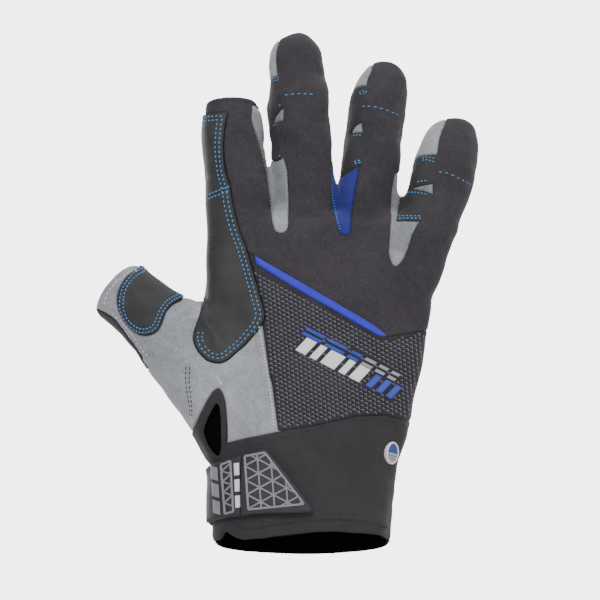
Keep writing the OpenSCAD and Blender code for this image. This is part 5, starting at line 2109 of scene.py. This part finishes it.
# ---------------------------------------------------------------- camera, light and floor
# All in metres
SENSOR_WIDTH = 36.0
BACKDROP = (0.855, 0.855, 0.855, 1)
BACKDROP_STRENGTH = 5.6
LIGHT_TARGET = (0.0, 0.0, 0.12)
# Name, place, diameter, power
LIGHTS = (
    ("key", (-0.7, -1.5, 1.25), 0.8, 22),
    ("fill", (1.3, -1.1, 0.5), 1.0, 11),
    ("top", (0.2, 0.2, 1.6), 0.9, 9),
    ("back_left", (-1.0, 1.3, 0.7), 0.9, 12),
    ("back_right", (1.0, 1.3, 0.9), 0.9, 10),
    ("low", (0.0, -1.2, -0.45), 0.9, 4),
)
FLOOR_Z = -0.30
FLOOR_HALF = 3.0


def aimed(name, data, place, way, link_first=False):
    ob = bpy.data.objects.new(name, data)
    ob.location = place
    ob.rotation_mode = "QUATERNION"
    ob.rotation_quaternion = Vector(way).to_track_quat("-Z", "Y")
    bpy.context.scene.collection.objects.link(ob)
    return ob


def camera():
    data = bpy.data.cameras.new("camera")
    data.sensor_width = SENSOR_WIDTH
    data.lens = SENSOR_WIDTH * EYE_DIST / FRAME_WIDTH
    data.clip_start = 0.05
    data.clip_end = 60.0
    bpy.context.scene.camera = aimed("camera", data, Vector(EYE * MM), LOOK)


def lights():
    for name, place, size, power in LIGHTS:
        data = bpy.data.lights.new(name, "AREA")
        data.shape = "DISK"
        data.size = size
        data.energy = power
        aimed(name, data, place, Vector(LIGHT_TARGET) - Vector(place))


def world():
    """Soft light all round, with a brighter backdrop for the camera only."""
    studio = bpy.data.worlds.new("studio")
    bpy.context.scene.world = studio
    nodes = Nodes(studio)
    ambient = nodes.tree.nodes["Background"]
    nodes.feed(ambient, {0: (0.86, 0.86, 0.86, 1), 1: 0.42})
    backdrop = nodes.add("Background", {0: BACKDROP, 1: BACKDROP_STRENGTH})
    path = nodes.add("LightPath")
    mixed = nodes.add("MixShader", {0: path.outputs["Is Camera Ray"], 1: ambient.outputs[0],
                                    2: backdrop.outputs[0]})
    nodes.feed(nodes.tree.nodes["World Output"], {0: mixed.outputs[0]})


def floor_material():
    """Pale from above and clear from below; fades into the backdrop, so no horizon shows."""
    material = bpy.data.materials.new("floor_pale")
    nodes = Nodes(material)
    surface = nodes.tree.nodes["Principled BSDF"]
    nodes.feed(surface, {"Base Color": (0.82, 0.82, 0.82, 1), "Roughness": 0.9})
    clear = nodes.add("BsdfTransparent")
    geometry = nodes.add("NewGeometry")
    glow = nodes.add("Emission", {0: BACKDROP, 1: BACKDROP_STRENGTH})
    distance = nodes.add("VectorMath", {0: geometry.outputs["Position"]}, operation="LENGTH")
    # from 0.3 m to 1.3 m away the fade goes from 0.8 to 1
    fade = nodes.add("MapRange", {0: distance.outputs["Value"], 1: 0.3, 2: 1.3, 3: 0.8, 4: 1.0})
    path = nodes.add("LightPath")
    seen = nodes.math("MULTIPLY", fade.outputs[0], path.outputs["Is Camera Ray"])
    faded = nodes.add("MixShader", {0: seen, 1: surface.outputs[0], 2: glow.outputs[0]})
    one_sided = nodes.add("MixShader", {0: geometry.outputs["Backfacing"], 1: faded.outputs[0],
                                        2: clear.outputs[0]})
    nodes.feed(nodes.tree.nodes["Material Output"], {0: one_sided.outputs[0]})
    return material


def floor():
    """Pale floor below the cuff, seen only from above."""
    mesh = bpy.data.meshes.new("floor")
    corners = [(x * FLOOR_HALF, y * FLOOR_HALF, FLOOR_Z)
               for x, y in ((-1, -1), (1, -1), (1, 1), (-1, 1))]
    mesh.from_pydata(corners, [], [(0, 1, 2, 3)])
    ob = bpy.data.objects.new("floor", mesh)
    bpy.context.scene.collection.objects.link(ob)
    mesh.materials.append(floor_material())


camera()
lights()
world()
floor()
